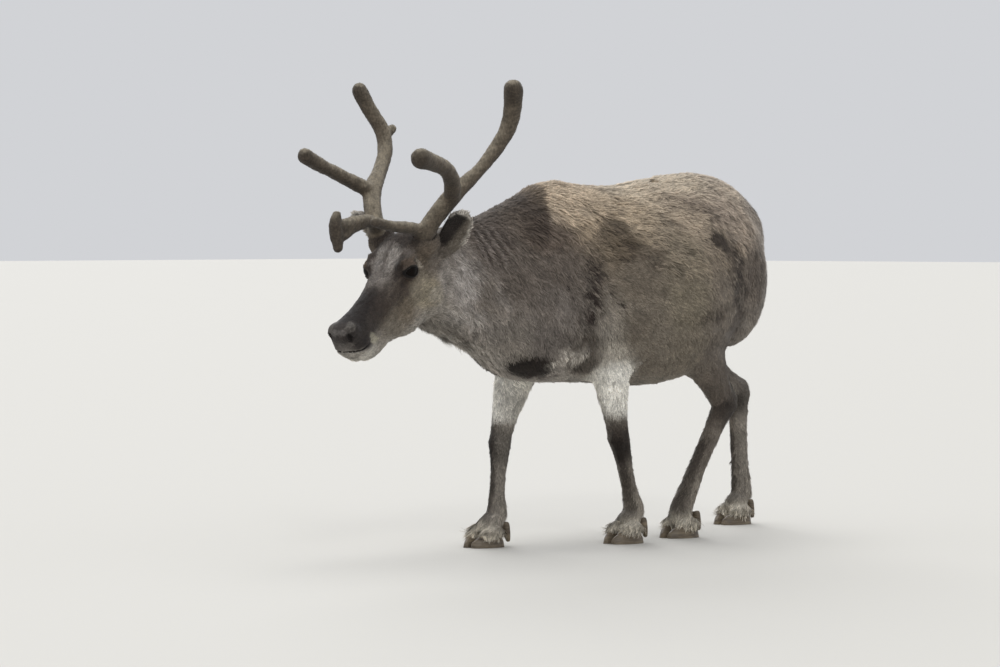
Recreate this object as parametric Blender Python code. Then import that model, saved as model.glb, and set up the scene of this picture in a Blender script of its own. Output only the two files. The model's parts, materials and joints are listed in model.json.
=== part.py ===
"""Standing, walking reindeer of the short-legged high-arctic kind, life size, in summer coat and velvet.

The animal faces -X and its left side is -Y. Metres, +Z up. The floor is Z = 0 and the origin
lies on it, under the middle of the whole animal. The flesh is modelled whole, as one fused body,
and is then parted by thin cuts into head, neck, torso and leg lengths.
"""

import math
import random

import bmesh
import bpy
import numpy as np
from mathutils import Matrix, Vector
from mathutils.bvhtree import BVHTree

# Driving sizes of the whole animal
WITHERS_HEIGHT = 0.862
HEAD_PITCH = math.radians(34)   # the face slopes down from level by this
HEAD_TURN = math.radians(10)    # the head looks this much to its left
NECK_PIVOT = Vector((-0.72, 0.0, 0.62))
EYE_CENTRE = Vector((-0.890, 0.0, 0.652))  # midway between the two eyes, before the turn
PART_GAP = 0.0004               # between parts that touch
STEEPEST_LEAN = 0.3             # of a face against the normal at its corner
FUSE_VOXEL = 0.0042
TRUNK_SOFTNESS = 60
BODY_TRIANGLES = 6900
DETAIL = {"trunk": 0.02, "leg": 0.03, "foot": 0.045, "head": 0.055, "face": 0.13}   # pull on the triangles
HEAD_ENDS_AT = -0.70
MUZZLE_FROM = 0.18
PASTERN_TOP = 0.11
BELLY_HEIGHT = 0.36
SCRAP_FACES = 20                # a loose surface of fewer faces is dropped

SIDES = {"left": -1.0, "right": 1.0}

# Colours read off the coat, as linear values
COATS = {
    "coat_body": (0.20, 0.17, 0.14),
    "coat_neck": (0.24, 0.21, 0.18),
    "coat_head": (0.17, 0.14, 0.12),
    "coat_leg": (0.16, 0.14, 0.12),
    "velvet": (0.14, 0.11, 0.08),
    "horn": (0.02, 0.018, 0.016),
    "eye": (0.006, 0.005, 0.004),
    "tail_hair": (0.50, 0.46, 0.41),
}

# Torso: x, bottom, top, half width, narrowing towards the top
TORSO = [
    (-0.600, 0.500, 0.630, 0.060, 0.10),
    (-0.575, 0.450, 0.690, 0.090, 0.12),
    (-0.530, 0.415, 0.755, 0.112, 0.16),
    (-0.470, 0.392, 0.812, 0.130, 0.22),
    (-0.400, 0.384, 0.850, 0.142, 0.30),
    (-0.330, 0.382, WITHERS_HEIGHT, 0.153, 0.32),
    (-0.240, 0.380, 0.853, 0.170, 0.26),
    (-0.130, 0.370, 0.852, 0.187, 0.20),
    (-0.020, 0.366, 0.866, 0.196, 0.17),
    (0.080, 0.384, 0.880, 0.190, 0.16),
    (0.160, 0.430, 0.886, 0.172, 0.15),
    (0.240, 0.500, 0.876, 0.148, 0.14),
    (0.310, 0.560, 0.845, 0.118, 0.12),
    (0.355, 0.620, 0.795, 0.080, 0.08),
    (0.372, 0.670, 0.750, 0.040, 0.00),
]

# Neck, in the same terms
NECK = [
    (-0.430, 0.420, 0.832, 0.118, 0.25),
    (-0.500, 0.425, 0.808, 0.110, 0.25),
    (-0.570, 0.446, 0.783, 0.096, 0.22),
    (-0.640, 0.474, 0.762, 0.084, 0.18),
    (-0.700, 0.498, 0.750, 0.076, 0.14),
    (-0.760, 0.520, 0.744, 0.072, 0.10),
    (-0.820, 0.560, 0.734, 0.066, 0.06),
]

# Head, along its own axis from the eyes: distance forward, bottom, top, half width, narrowing
HEAD = [
    (-0.135, -0.070, 0.028, 0.042, 0.00),
    (-0.105, -0.118, 0.044, 0.062, 0.00),
    (-0.060, -0.146, 0.048, 0.067, -0.08),
    (-0.020, -0.152, 0.046, 0.065, -0.12),
    (0.022, -0.146, 0.038, 0.056, -0.16),
    (0.060, -0.134, 0.027, 0.047, -0.20),
    (0.100, -0.121, 0.021, 0.040, -0.18),
    (0.140, -0.108, 0.018, 0.036, -0.14),
    (0.180, -0.096, 0.018, 0.036, -0.10),
    (0.220, -0.083, 0.021, 0.038, -0.10),
    (0.246, -0.070, 0.021, 0.034, -0.10),
    (0.262, -0.052, 0.010, 0.020, 0.00),
]
EYE_SPOT = (0.016, 0.0515, 0.010)   # forward, outward, up
EYE_RADIUS = 0.0180
EYE_LOOKS = (0.42, 0.90, 0.10)      # the way the opening between the lids faces
LID_THICKNESS = 0.0035
LID_OPENING = (0.0155, 0.0140, 0.0105)

# Antlers in the head's place before its turn: x, distance from the middle, z, radius
BEAM = {
    "left": [
        (-0.852, 0.048, 0.690, 0.022),
        (-0.866, 0.062, 0.724, 0.023),
        (-0.858, 0.080, 0.762, 0.0215),
        (-0.838, 0.102, 0.800, 0.0220),
        (-0.812, 0.122, 0.834, 0.0200),
        (-0.774, 0.148, 0.874, 0.0160),
        (-0.738, 0.172, 0.926, 0.0180),
        (-0.716, 0.190, 0.975, 0.0200),
        (-0.718, 0.202, 1.022, 0.0220),
        (-0.732, 0.212, 1.055, 0.0235),
    ],
    "right": [
        (-0.852, 0.048, 0.690, 0.022),
        (-0.866, 0.062, 0.724, 0.023),
        (-0.855, 0.080, 0.762, 0.0215),
        (-0.834, 0.102, 0.800, 0.0215),
        (-0.800, 0.122, 0.838, 0.0215),
        (-0.740, 0.144, 0.880, 0.0180),
        (-0.698, 0.160, 0.926, 0.0190),
        (-0.690, 0.174, 0.968, 0.0190),
        (-0.712, 0.192, 1.015, 0.0185),
        (-0.730, 0.210, 1.062, 0.0195),
    ],
}
BEZ = {
    "left": [
        (-0.836, 0.116, 0.810, 0.0200),
        (-0.864, 0.136, 0.847, 0.0200),
        (-0.911, 0.150, 0.875, 0.0190),
        (-0.978, 0.158, 0.889, 0.0205),
        (-1.022, 0.160, 0.896, 0.0245),
    ],
    "right": [
        (-0.815, 0.116, 0.828, 0.0190),
        (-0.866, 0.134, 0.850, 0.0180),
        (-0.925, 0.148, 0.873, 0.0165),
        (-0.978, 0.156, 0.892, 0.0180),
        (-1.012, 0.158, 0.906, 0.0195),
    ],
}
BROW = {
    "left": [
        (-0.866, 0.062, 0.735, 0.017),
        (-0.900, 0.057, 0.744, 0.0155),
        (-0.950, 0.050, 0.748, 0.0145),
        (-0.995, 0.044, 0.752, 0.0130),
        (-1.024, 0.041, 0.758, 0.0140),
    ],
    "right": [
        (-0.866, 0.062, 0.735, 0.017),
        (-0.902, 0.055, 0.760, 0.0160),
        (-0.952, 0.050, 0.761, 0.0155),
        (-0.994, 0.050, 0.754, 0.0160),
        (-1.026, 0.050, 0.749, 0.0165),
    ],
}
SHOVEL = [
    (-1.038, 0.050, 0.781, 0.0110),
    (-1.048, 0.050, 0.760, 0.0150),
    (-1.046, 0.050, 0.734, 0.0160),
    (-1.038, 0.050, 0.701, 0.0130),
]
WEB = [(-0.933, 0.050, 0.756, 0.012), (-0.979, 0.050, 0.746, 0.013), (-1.024, 0.050, 0.727, 0.015)]
NUB = [(-0.688, 0.172, 0.958, 0.016), (-0.658, 0.168, 0.976, 0.012)]
BEZ_SLAB = 0.027                # half width of the cut across the bez tine
ANTLER_VOXEL = 0.0032
ANTLER_TRIANGLES = 840

# Ears in the same place: x, distance from the middle, z, half width, depth of the cup
EAR = [
    (-0.800, 0.056, 0.690, 0.017, 0.000),
    (-0.806, 0.078, 0.702, 0.023, 0.004),
    (-0.812, 0.096, 0.718, 0.028, 0.013),
    (-0.818, 0.114, 0.738, 0.030, 0.015),
    (-0.826, 0.130, 0.756, 0.028, 0.013),
    (-0.834, 0.142, 0.770, 0.021, 0.009),
    (-0.840, 0.149, 0.779, 0.010, 0.003),
]
EAR_OPENS = Vector((-0.70, 0.62, 0.10))    # where the cup faces, with its Y outward
EAR_THICKNESS = 0.0055

# Tail: x, z, half width, half depth
TAIL = [
    (0.330, 0.800, 0.020, 0.016),
    (0.365, 0.775, 0.026, 0.019),
    (0.385, 0.735, 0.030, 0.019),
    (0.392, 0.695, 0.027, 0.016),
    (0.390, 0.660, 0.018, 0.011),
    (0.387, 0.640, 0.007, 0.005),
]

# Locks of hair: share of the length and of the girth, from the sunk root to the tip
LOCK_TAPER = [(-0.30, 0.55), (0.0, 0.90), (0.40, 1.0), (0.75, 0.72), (1.0, 0.16)]
TAIL_LOCKS = 7
TAIL_LOCK = 0.070
TAIL_SAG = Vector((-0.006, 0.0, 0.0))
LOCK_WIDTH = 0.020
LOCK_THICKNESS = 0.008

# Hoof of one toe: forward from the heel, height, half width, drift inwards
HOOF = [
    (0.000, 0.020, 0.010, 0.000),
    (0.012, 0.031, 0.0155, 0.000),
    (0.032, 0.037, 0.0175, 0.000),
    (0.052, 0.032, 0.0165, 0.001),
    (0.070, 0.022, 0.0125, 0.003),
    (0.082, 0.013, 0.0065, 0.006),
]
HOOF_POINTS = 10
HEEL_CLEAR = 0.042              # least distance of a dewclaw's root behind the foot's middle
HOOF_HEEL_BACK = 0.034
TOE_SPREAD = 0.0245            # from the middle of the foot to that of each toe
TOE_SPLAY = math.radians(10)
DEWCLAW = [(0.000, 0.0125), (0.016, 0.0120), (0.034, 0.0095), (0.048, 0.0050)]

# Leg girths: joint that it starts from, share of the way to the next, half depth, half width, shift back
FRONT_GIRTHS = [
    (0, 0.00, 0.075, 0.045, 0.010),
    (0, 0.35, 0.052, 0.040, 0.004),
    (0, 0.65, 0.036, 0.031, 0.000),
    (0, 0.88, 0.027, 0.027, 0.000),
    (1, 0.00, 0.0275, 0.0280, 0.000),
    (1, 0.16, 0.0240, 0.0235, 0.002),
    (1, 0.45, 0.0190, 0.0190, 0.001),
    (1, 0.75, 0.0195, 0.0200, 0.001),
    (2, 0.00, 0.0250, 0.0260, 0.003),
    (2, 0.55, 0.0240, 0.0290, 0.000),
    (2, 1.00, 0.0220, 0.0300, 0.000),
]
HIND_GIRTHS = [
    (0, 0.00, 0.130, 0.066, 0.000),
    (0, 0.45, 0.125, 0.062, 0.005),
    (0, 0.80, 0.098, 0.056, 0.012),
    (1, 0.00, 0.080, 0.052, 0.018),
    (1, 0.35, 0.064, 0.042, 0.004),
    (1, 0.70, 0.045, 0.030, 0.002),
    (1, 0.92, 0.040, 0.026, 0.003),
    (2, 0.00, 0.038, 0.026, 0.006),
    (2, 0.14, 0.030, 0.023, 0.004),
    (2, 0.40, 0.0250, 0.0205, 0.001),
    (2, 0.75, 0.0245, 0.0215, 0.001),
    (3, 0.00, 0.0265, 0.0265, 0.003),
    (3, 0.55, 0.0245, 0.0290, 0.000),
    (3, 1.00, 0.0220, 0.0300, 0.000),
]

# Leg joints as (x, distance from the middle, height), down to the coronet of the toes
LEGS = {
    "front_left": {
        "side": "left",
        "joints": [(-0.262, 0.105, 0.475), (-0.196, 0.088, 0.250), (-0.138, 0.084, 0.078),
                   (-0.163, 0.084, 0.040)],
        "foot": (-0.178, 0.084),
    },
    "front_right": {
        "side": "right",
        "joints": [(-0.338, 0.105, 0.450), (-0.420, 0.088, 0.240), (-0.437, 0.084, 0.076),
                   (-0.470, 0.084, 0.040)],
        "foot": (-0.482, 0.084),
    },
    "hind_left": {
        "side": "left",
        "joints": [(0.185, 0.085, 0.690), (0.052, 0.115, 0.475), (0.195, 0.088, 0.320), (0.050, 0.078, 0.082),
                   (0.040, 0.078, 0.042)],
        "foot": (0.034, 0.078),
    },
    "hind_right": {
        "side": "right",
        "joints": [(0.225, 0.085, 0.690), (0.212, 0.115, 0.475), (0.458, 0.086, 0.334), (0.466, 0.078, 0.080),
                   (0.440, 0.078, 0.042)],
        "foot": (0.428, 0.078),
    },
}

# Muscle masses on both sides: x, distance from the middle, z, three radii, tilt in degrees
MASSES = [
    (-0.375, 0.082, 0.640, 0.095, 0.056, 0.160, 22),
    (-0.420, 0.092, 0.540, 0.085, 0.050, 0.085, 0),
    (-0.320, 0.100, 0.505, 0.105, 0.048, 0.075, -14),
    (0.195, 0.080, 0.640, 0.150, 0.085, 0.190, -12),
    (0.285, 0.062, 0.700, 0.078, 0.056, 0.120, 6),
]


def clear_scene():
    for obj in list(bpy.data.objects):
        bpy.data.objects.remove(obj, do_unlink=True)


def material(name):
    mat = bpy.data.materials.get(name)
    if mat is None:
        mat = bpy.data.materials.new(name)
        mat.use_nodes = True
        shader = mat.node_tree.nodes["Principled BSDF"]
        shader.inputs["Base Color"].default_value = (*COATS[name], 1.0)
        shader.inputs["Roughness"].default_value = 0.1 if name == "eye" else 0.85
        shader.inputs["Metallic"].default_value = 0.0
    return mat


def new_object(name, mesh):
    obj = bpy.data.objects.new(name, mesh)
    bpy.context.collection.objects.link(obj)
    return obj


def evaluated_mesh(obj):
    """The object's mesh with all of its modifiers applied, as new data."""
    bpy.context.view_layer.update()
    graph = bpy.context.evaluated_depsgraph_get()
    return bpy.data.meshes.new_from_object(obj.evaluated_get(graph), depsgraph=graph)


def apply_modifiers(obj):
    mesh = evaluated_mesh(obj)
    obj.modifiers.clear()
    old = obj.data
    obj.data = mesh
    bpy.data.meshes.remove(old)


def between(stations, steps):
    """The stations with `steps` smooth ones between each two, by a Catmull-Rom spline."""
    rows = np.array(stations, float)
    padded = np.vstack([2 * rows[0] - rows[1], rows, 2 * rows[-1] - rows[-2]])
    out = []
    for i in range(1, len(padded) - 2):
        a, b, c, d = padded[i - 1:i + 3]
        for t in np.arange(steps) / steps:
            out.append(0.5 * ((2 * b) + (c - a) * t + (2 * a - 5 * b + 4 * c - d) * t ** 2
                              + (3 * b - a - 3 * c + d) * t ** 3))
    out.append(rows[-1])
    return np.array(out)


def section(centre, side, up, narrowing=0.0, power=2.2, points=24):
    """Points round one rounded section. side and up are half sizes as vectors."""
    ring = []
    for i in range(points):
        turn = 2 * math.pi * i / points
        c, s = math.cos(turn), math.sin(turn)
        k = (abs(c) ** power + abs(s) ** power) ** (-1 / power)
        ring.append(centre + side * (c * k * (1 - narrowing * s * k)) + up * (s * k))
    return ring


def skin_rings(name, rings):
    """A closed tube over rings of equal length, with a fan of faces at both ends."""
    bm = bmesh.new()
    loops = [[bm.verts.new(p) for p in ring] for ring in rings]
    count = len(loops[0])
    for a, b in zip(loops, loops[1:]):
        for i in range(count):
            j = (i + 1) % count
            bm.faces.new((a[i], a[j], b[j], b[i]))
    for loop in (loops[0], loops[-1]):
        middle = bm.verts.new(sum((v.co for v in loop), Vector()) / count)
        for i in range(count):
            bm.faces.new((loop[i], loop[(i + 1) % count], middle))
    bmesh.ops.recalc_face_normals(bm, faces=bm.faces)
    mesh = bpy.data.meshes.new(name)
    bm.to_mesh(mesh)
    bm.free()
    return new_object(name, mesh)


def upright_loft(name, stations):
    """A body lofted along X from (x, bottom, top, half width, narrowing)."""
    rings = []
    for x, bottom, top, half, narrowing in between(stations, 5):
        centre = Vector((x, 0, (bottom + top) / 2))
        rings.append(section(centre, Vector((0, half, 0)), Vector((0, 0, (top - bottom) / 2)), narrowing))
    return skin_rings(name, rings)


def head_matrix():
    """Places the head's own frame: its X runs forward along the face and its Z up."""
    forward = Vector((-math.cos(HEAD_PITCH), 0, -math.sin(HEAD_PITCH)))
    up = Vector((-math.sin(HEAD_PITCH), 0, math.cos(HEAD_PITCH)))
    side = up.cross(forward)
    frame = Matrix((forward, side, up)).transposed().to_4x4()
    frame.translation = EYE_CENTRE
    return head_turn() @ frame


def head_turn():
    """Turns a point of the straight neck with the head, to the animal's left."""
    there = Matrix.Translation(NECK_PIVOT)
    return there @ Matrix.Rotation(HEAD_TURN, 4, "Z") @ there.inverted()


HEAD_FRAME = head_matrix()


def on_head(forward, side, up):
    """A point of the head's frame in the model's. side is to the animal's right."""
    return HEAD_FRAME @ Vector((forward, side, up))


def head_loft():
    rings = []
    for s, bottom, top, half, narrowing in between(HEAD, 4):
        ring = section(Vector((s, 0, (bottom + top) / 2)), Vector((0, half, 0)),
                       Vector((0, 0, (top - bottom) / 2)), narrowing, 2.3)
        rings.append([HEAD_FRAME @ p for p in ring])
    return skin_rings("head_core", rings)


def limb_loft(name, leg, girths):
    """A leg lofted through its joints, each section square to the way that the leg runs."""
    sign = SIDES[leg["side"]]
    joints = [Vector((x, sign * out, z)) for x, out, z in leg["joints"]]
    rows = []
    for joint, share, depth, width, back in girths:
        start = joints[joint]
        end = joints[min(joint + 1, len(joints) - 1)]
        at = start.lerp(end, share)
        rows.append((*at, depth, width, back))
    rows = between(rows, 4)
    rings = []
    for i, row in enumerate(rows):
        before, after = rows[max(i - 1, 0)], rows[min(i + 1, len(rows) - 1)]
        run = Vector(after[:3] - before[:3]).normalized()
        run = (run + Vector((0, 0, -0.6))).normalized()
        backwards = Vector((0, 1, 0)).cross(run).normalized()
        if backwards.x < 0:
            backwards.negate()
        centre = Vector(row[:3]) + backwards * row[5]
        rings.append(section(centre, backwards * row[3], Vector((0, row[4], 0)), 0.0, 2.1, 16))
    return skin_rings(name, rings)


def ball(name, centre, radii, turn=None, detail=3):
    """An ellipsoid with three radii, turned by a matrix."""
    bm = bmesh.new()
    bmesh.ops.create_icosphere(bm, subdivisions=detail, radius=1.0)
    place = Matrix.Translation(centre) @ (turn or Matrix.Identity(4)) @ Matrix.Diagonal((*radii, 1.0))
    bmesh.ops.transform(bm, matrix=place, verts=bm.verts)
    mesh = bpy.data.meshes.new(name)
    bm.to_mesh(mesh)
    bm.free()
    return new_object(name, mesh)


def join(name, objects):
    bm = bmesh.new()
    for obj in objects:
        bm.from_mesh(obj.data)
        bpy.data.objects.remove(obj)
    mesh = bpy.data.meshes.new(name)
    bm.to_mesh(mesh)
    bm.free()
    return new_object(name, mesh)


def fuse(name, objects, voxel, rounds):
    """Overlapping forms made one skin, with the hollows between them rounded."""
    obj = join(name, objects)
    remesh = obj.modifiers.new("one skin", "REMESH")
    remesh.mode = "VOXEL"
    remesh.voxel_size = voxel
    smooth = obj.modifiers.new("soft", "SMOOTH")
    smooth.factor = 0.5
    smooth.iterations = rounds
    apply_modifiers(obj)
    return obj


def tube(name, rows, side, points=14):
    """A round branch along (x, distance from the middle, z, radius), with a domed end."""
    sign = SIDES[side]
    rows = [np.array(row) for row in between(rows, 4)]
    tip, ahead = rows[-1], rows[-1] - rows[-2]
    ahead = ahead / np.linalg.norm(ahead[:3])
    for reach, share in ((0.45, 0.90), (0.80, 0.62), (0.97, 0.28)):
        end = tip + ahead * tip[3] * reach
        end[3] = tip[3] * share
        rows.append(end)
    rings = []
    for i, row in enumerate(rows):
        before, after = rows[max(i - 1, 0)], rows[min(i + 1, len(rows) - 1)]
        run = Vector(after[:3] - before[:3]).normalized()
        across = run.orthogonal().normalized()
        over = run.cross(across)
        ring = section(Vector(row[:3]), across * row[3], over * row[3], 0.0, 2.0, points)
        rings.append([head_turn() @ Vector((p.x, sign * p.y, p.z)) for p in ring])
    aligned = [rings[0]]
    for ring in rings[1:]:
        last = aligned[-1]
        starts = range(len(ring))
        best = min(starts, key=lambda k: sum((ring[(i + k) % points] - last[i]).length for i in starts))
        aligned.append([ring[(i + best) % points] for i in starts])
    return skin_rings(name, aligned)


def antler(side):
    """One whole antler in velvet, still uncut."""
    pieces = [tube("beam", BEAM[side], side), tube("bez", BEZ[side], side), tube("brow", BROW[side], side)]
    if side == "right":
        pieces += [tube("shovel", SHOVEL, side), tube("web", WEB, side), tube("nub", NUB, side)]
    obj = fuse("antler_" + side, pieces, ANTLER_VOXEL, 6)
    thin_out(obj, ANTLER_TRIANGLES)
    return obj


def thin_out(obj, triangles, keep=None):
    """Fewer triangles, with more of them left where the vertex group `keep` is strong."""
    obj.data.validate()
    count = sum(len(p.vertices) - 2 for p in obj.data.polygons)
    decimate = obj.modifiers.new("fewer", "DECIMATE")
    decimate.ratio = triangles / count
    decimate.use_collapse_triangulate = True
    if keep:
        decimate.vertex_group = keep
        decimate.vertex_group_factor = 1.0
        decimate.invert_vertex_group = True
    apply_modifiers(obj)


def ear(side):
    """A leaf-shaped cup with a solid root."""
    sign = SIDES[side]
    rows = between(EAR, 2)
    opens = Vector(EAR_OPENS).normalized()
    rings = []
    arc = 9
    for i, row in enumerate(rows):
        before, after = rows[max(i - 1, 0)], rows[min(i + 1, len(rows) - 1)]
        run = Vector(after[:3] - before[:3]).normalized()
        across = run.cross(opens).normalized()
        facing = across.cross(run).normalized()
        if facing.dot(opens) < 0:
            facing.negate()
        centre, half, depth = Vector(row[:3]), row[3], row[4]
        rim = min(EAR_THICKNESS * 0.5, half * 0.35)
        ring = []
        for k in range(arc):
            t = math.pi * k / (arc - 1)
            bulge = math.sin(t)
            ring.append(centre + across * half * math.cos(t) - facing * (depth + half * 0.45) * bulge)
        for k in range(1, arc - 1):
            t = math.pi * (1 - k / (arc - 1))
            bulge = math.sin(t)
            inner = depth - half * 0.25 if depth > 0.003 else -half * 0.6
            ring.append(centre + across * (half - rim) * math.cos(t) - facing * inner * bulge
                        + facing * rim)
        rings.append([head_turn() @ Vector((p.x, sign * p.y, p.z)) for p in ring])
    return skin_rings("ear_" + side, rings)


def eye(side):
    s, w, h = EYE_SPOT
    return ball("eye_" + side, on_head(s, head_side(side) * w, h), (EYE_RADIUS,) * 3)


def head_side(side):
    """The head frame's sideways sign for a side of the animal."""
    right = HEAD_FRAME.to_3x3() @ Vector((0, 1, 0))
    return SIDES[side] * (1.0 if right.y > 0 else -1.0)


def tail():
    rings = []
    for x, z, half, depth in between(TAIL, 2):
        across, out = Vector((0, half, 0)), Vector((depth, 0, depth * 0.4))
        rings.append(section(Vector((x, 0, z)), across, out, 0.0, 2.0, 12))
    return skin_rings("tail", rings)


def lock(root, direction, sag, length, width, thick, across):
    """One flat tapered lock of hair, sunk at its root and bending with `sag`."""
    rings = []
    for share, girth in LOCK_TAPER:
        along = length * share
        centre = root + direction * along + sag * max(share, 0.0) ** 2
        run = (direction * length + sag * 2 * max(share, 0.0)).normalized()
        side = (across - run * across.dot(run)).normalized()
        flat = run.cross(side)
        w, t = side * width * girth / 2, flat * thick * (0.35 + 0.65 * girth) / 2
        rings.append([centre + w, centre + t, centre - w, centre - t])
    return skin_rings("lock", rings)


def tail_locks():
    """Hair that hangs past the sides and the end of the tail."""
    draw = random.Random(5)
    locks = []
    for i in range(TAIL_LOCKS):
        t = i / (TAIL_LOCKS - 1) * 2 - 1
        low = 0.690 + 0.018 * abs(t) * 2
        root = Vector((0.388, 0.017 * t, low - 0.012))
        direction = Vector((0.02, 0.22 * t, -1.0)).normalized()
        length = TAIL_LOCK * (1.0 - 0.25 * abs(t)) * draw.uniform(0.9, 1.1)
        across = Vector((0.15 * t, 1, 0))
        locks.append(lock(root, direction, TAIL_SAG, length, LOCK_WIDTH, LOCK_THICKNESS, across))
    return locks


def toe_frame(foot, inward):
    """Places a toe of a foot: its X runs forward along the toe and its Y towards the other toe."""
    x, out = foot
    turn = Matrix.Rotation(-inward * TOE_SPLAY, 4, "Z")
    flip = Matrix(((-1, 0, 0, 0), (0, inward, 0, 0), (0, 0, 1, 0), (0, 0, 0, 1)))
    return Matrix.Translation((x, out - inward * TOE_SPREAD, 0)) @ turn @ flip


def hoof(name, foot, inward):
    place = toe_frame(foot, inward)
    rings = []
    for ahead, height, half, drift in between(HOOF, 2):
        ring = []
        for k in range(HOOF_POINTS):
            t = 2 * math.pi * k / HOOF_POINTS
            rise = max(math.sin(t), 0.0) ** 0.8 * height
            slope = 1.0 - 0.25 * rise / height
            ring.append(place @ Vector((ahead - HOOF_HEEL_BACK, drift + half * math.cos(t) * slope, rise)))
        rings.append(ring)
    return skin_rings(name, rings)


def dewclaw(name, foot, inward, heel):
    """A small blunt claw that hangs behind the pastern."""
    x, out = foot
    start = Vector((heel[0], out - inward * 0.020, heel[1]))
    run = Vector((0.10, -inward * 0.16, -1.0)).normalized()
    across = run.cross(Vector((0, 1, 0))).normalized()
    over = run.cross(across)
    rings = []
    for along, radius in DEWCLAW:
        rings.append(section(start + run * along, across * radius * 0.8, over * radius, 0.0, 2.0, 8))
    return skin_rings(name, rings)


def head_masses():
    """Brow, cheek, jaw, nose and lip masses in the head's frame, each as place and radii."""
    paired = [
        ((0.008, 0.046, 0.030), (0.040, 0.018, 0.014)),     # brow over the eye
        ((-0.064, 0.060, 0.032), (0.036, 0.030, 0.036)),    # foot of the antler
        ((-0.030, 0.040, -0.075), (0.062, 0.030, 0.064)),   # cheek
        ((0.030, 0.030, -0.095), (0.085, 0.024, 0.034)),    # jaw
        ((0.075, 0.034, -0.022), (0.055, 0.012, 0.016)),    # ridge below the eye
        ((0.236, 0.024, 0.000), (0.022, 0.016, 0.019)),     # wing of the nose
        ((0.220, 0.024, -0.042), (0.036, 0.016, 0.019)),    # upper lip
        ((EYE_SPOT[0], EYE_SPOT[1], EYE_SPOT[2]), (EYE_RADIUS + LID_THICKNESS,) * 3),
    ]
    middle = [
        ((0.218, 0, -0.070), (0.030, 0.026, 0.016)),        # chin
        ((0.150, 0, -0.090), (0.070, 0.028, 0.020)),        # lower jaw
        ((0.246, 0, -0.004), (0.020, 0.030, 0.024)),        # nose
        ((-0.035, 0, 0.038), (0.055, 0.046, 0.020)),        # forehead
    ]
    turn = HEAD_FRAME.to_3x3().to_4x4()
    pieces = [ball("mass", on_head(*place), radii, turn) for place, radii in middle]
    for sign in SIDES.values():
        pieces += [ball("mass", on_head(s, sign * w, h), radii, turn) for (s, w, h), radii in paired]
    return pieces


def toe_masses(leg):
    """The haired part of both toes, over the hooves."""
    sign = SIDES[leg["side"]]
    x, out = leg["foot"]
    pieces = []
    for inward in (1, -1):
        place = toe_frame((x, sign * out), inward)
        centre = place @ Vector((-0.010, 0.0, 0.034))
        pieces.append(ball("toe", centre, (0.033, 0.0185, 0.017), place.to_3x3().normalized().to_4x4()))
    return pieces


def body_forms():
    """All the forms that are fused into the flesh."""
    forms = [upright_loft("torso_core", TORSO), upright_loft("neck_core", NECK), head_loft()]
    for x, out, z, *radii, tilt in MASSES:
        for sign in SIDES.values():
            turn = Matrix.Rotation(math.radians(tilt), 4, "Y")
            forms.append(ball("mass", Vector((x, sign * out, z)), radii, turn))
    for name, leg in LEGS.items():
        forms.append(limb_loft(name, leg, FRONT_GIRTHS if name.startswith("front") else HIND_GIRTHS))
        forms += toe_masses(leg)
    return forms + head_masses()


def soften_trunk(obj):
    """Rounds off the trunk, whose forms are broad, more than the head and the feet."""
    group = obj.vertex_groups.new(name="trunk")
    for vert in obj.data.vertices:
        inside = min((vert.co.x - HEAD_ENDS_AT + 0.08) / 0.10, (vert.co.z - BELLY_HEIGHT + 0.03) / 0.08, 1.0)
        if inside > 0:
            group.add([vert.index], inside, "REPLACE")
    smooth = obj.modifiers.new("soft", "SMOOTH")
    smooth.factor = 0.5
    smooth.iterations = TRUNK_SOFTNESS
    smooth.vertex_group = group.name
    apply_modifiers(obj)
    obj.vertex_groups.clear()


def weigh_detail(obj):
    """A vertex group, strong where small forms need many triangles: on the face and the feet."""
    group = obj.vertex_groups.new(name="detail")
    inverse = HEAD_FRAME.inverted()
    lots = {name: [] for name in DETAIL}
    for vert in obj.data.vertices:
        spot = inverse @ vert.co
        off_eye = Vector((spot.x - EYE_SPOT[0], abs(spot.y) - EYE_SPOT[1], spot.z - EYE_SPOT[2])).length
        if vert.co.x < HEAD_ENDS_AT and spot.x > HEAD[1][0]:
            lots["face" if off_eye < 2 * EYE_RADIUS or spot.x > MUZZLE_FROM else "head"].append(vert.index)
        elif vert.co.z < PASTERN_TOP:
            lots["foot"].append(vert.index)
        else:
            lots["leg" if vert.co.z < BELLY_HEIGHT else "trunk"].append(vert.index)
    for name, verts in lots.items():
        group.add(verts, DETAIL[name], "REPLACE")


def slab(name, centre, normal, reach, thick=PART_GAP):
    """A thin plate that parts the flesh. reach is its half size across, then along."""
    normal = Vector(normal).normalized()
    bm = bmesh.new()
    bmesh.ops.create_cube(bm, size=2.0)
    turn = normal.to_track_quat("Z", "Y").to_matrix().to_4x4()
    size = Matrix.Diagonal((reach, reach, thick / 2, 1.0))
    bmesh.ops.transform(bm, matrix=Matrix.Translation(centre) @ turn @ size, verts=bm.verts)
    mesh = bpy.data.meshes.new(name)
    bm.to_mesh(mesh)
    bm.free()
    return new_object(name, mesh)


def fattened(obj):
    """A copy of the object whose every face has moved out by the gap that touching parts keep."""
    bm = bmesh.new()
    bm.from_mesh(obj.data)
    moves = []
    for vert in bm.verts:
        lean = min(vert.normal.dot(face.normal) for face in vert.link_faces)
        moves.append(vert.normal * PART_GAP / max(lean, STEEPEST_LEAN))
    for vert, move in zip(bm.verts, moves):
        vert.co += move
    mesh = bpy.data.meshes.new(obj.name + "_room")
    bm.to_mesh(mesh)
    bm.free()
    return new_object(mesh.name, mesh)


def cut(obj, cutters):
    """Takes closed cutters out of the object one after another, and removes them."""
    for cutter in cutters:
        step = obj.modifiers.new("cut", "BOOLEAN")
        step.operation = "DIFFERENCE"
        step.solver = "EXACT"
        step.object = cutter
        apply_modifiers(obj)
        bpy.data.objects.remove(cutter)


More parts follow.
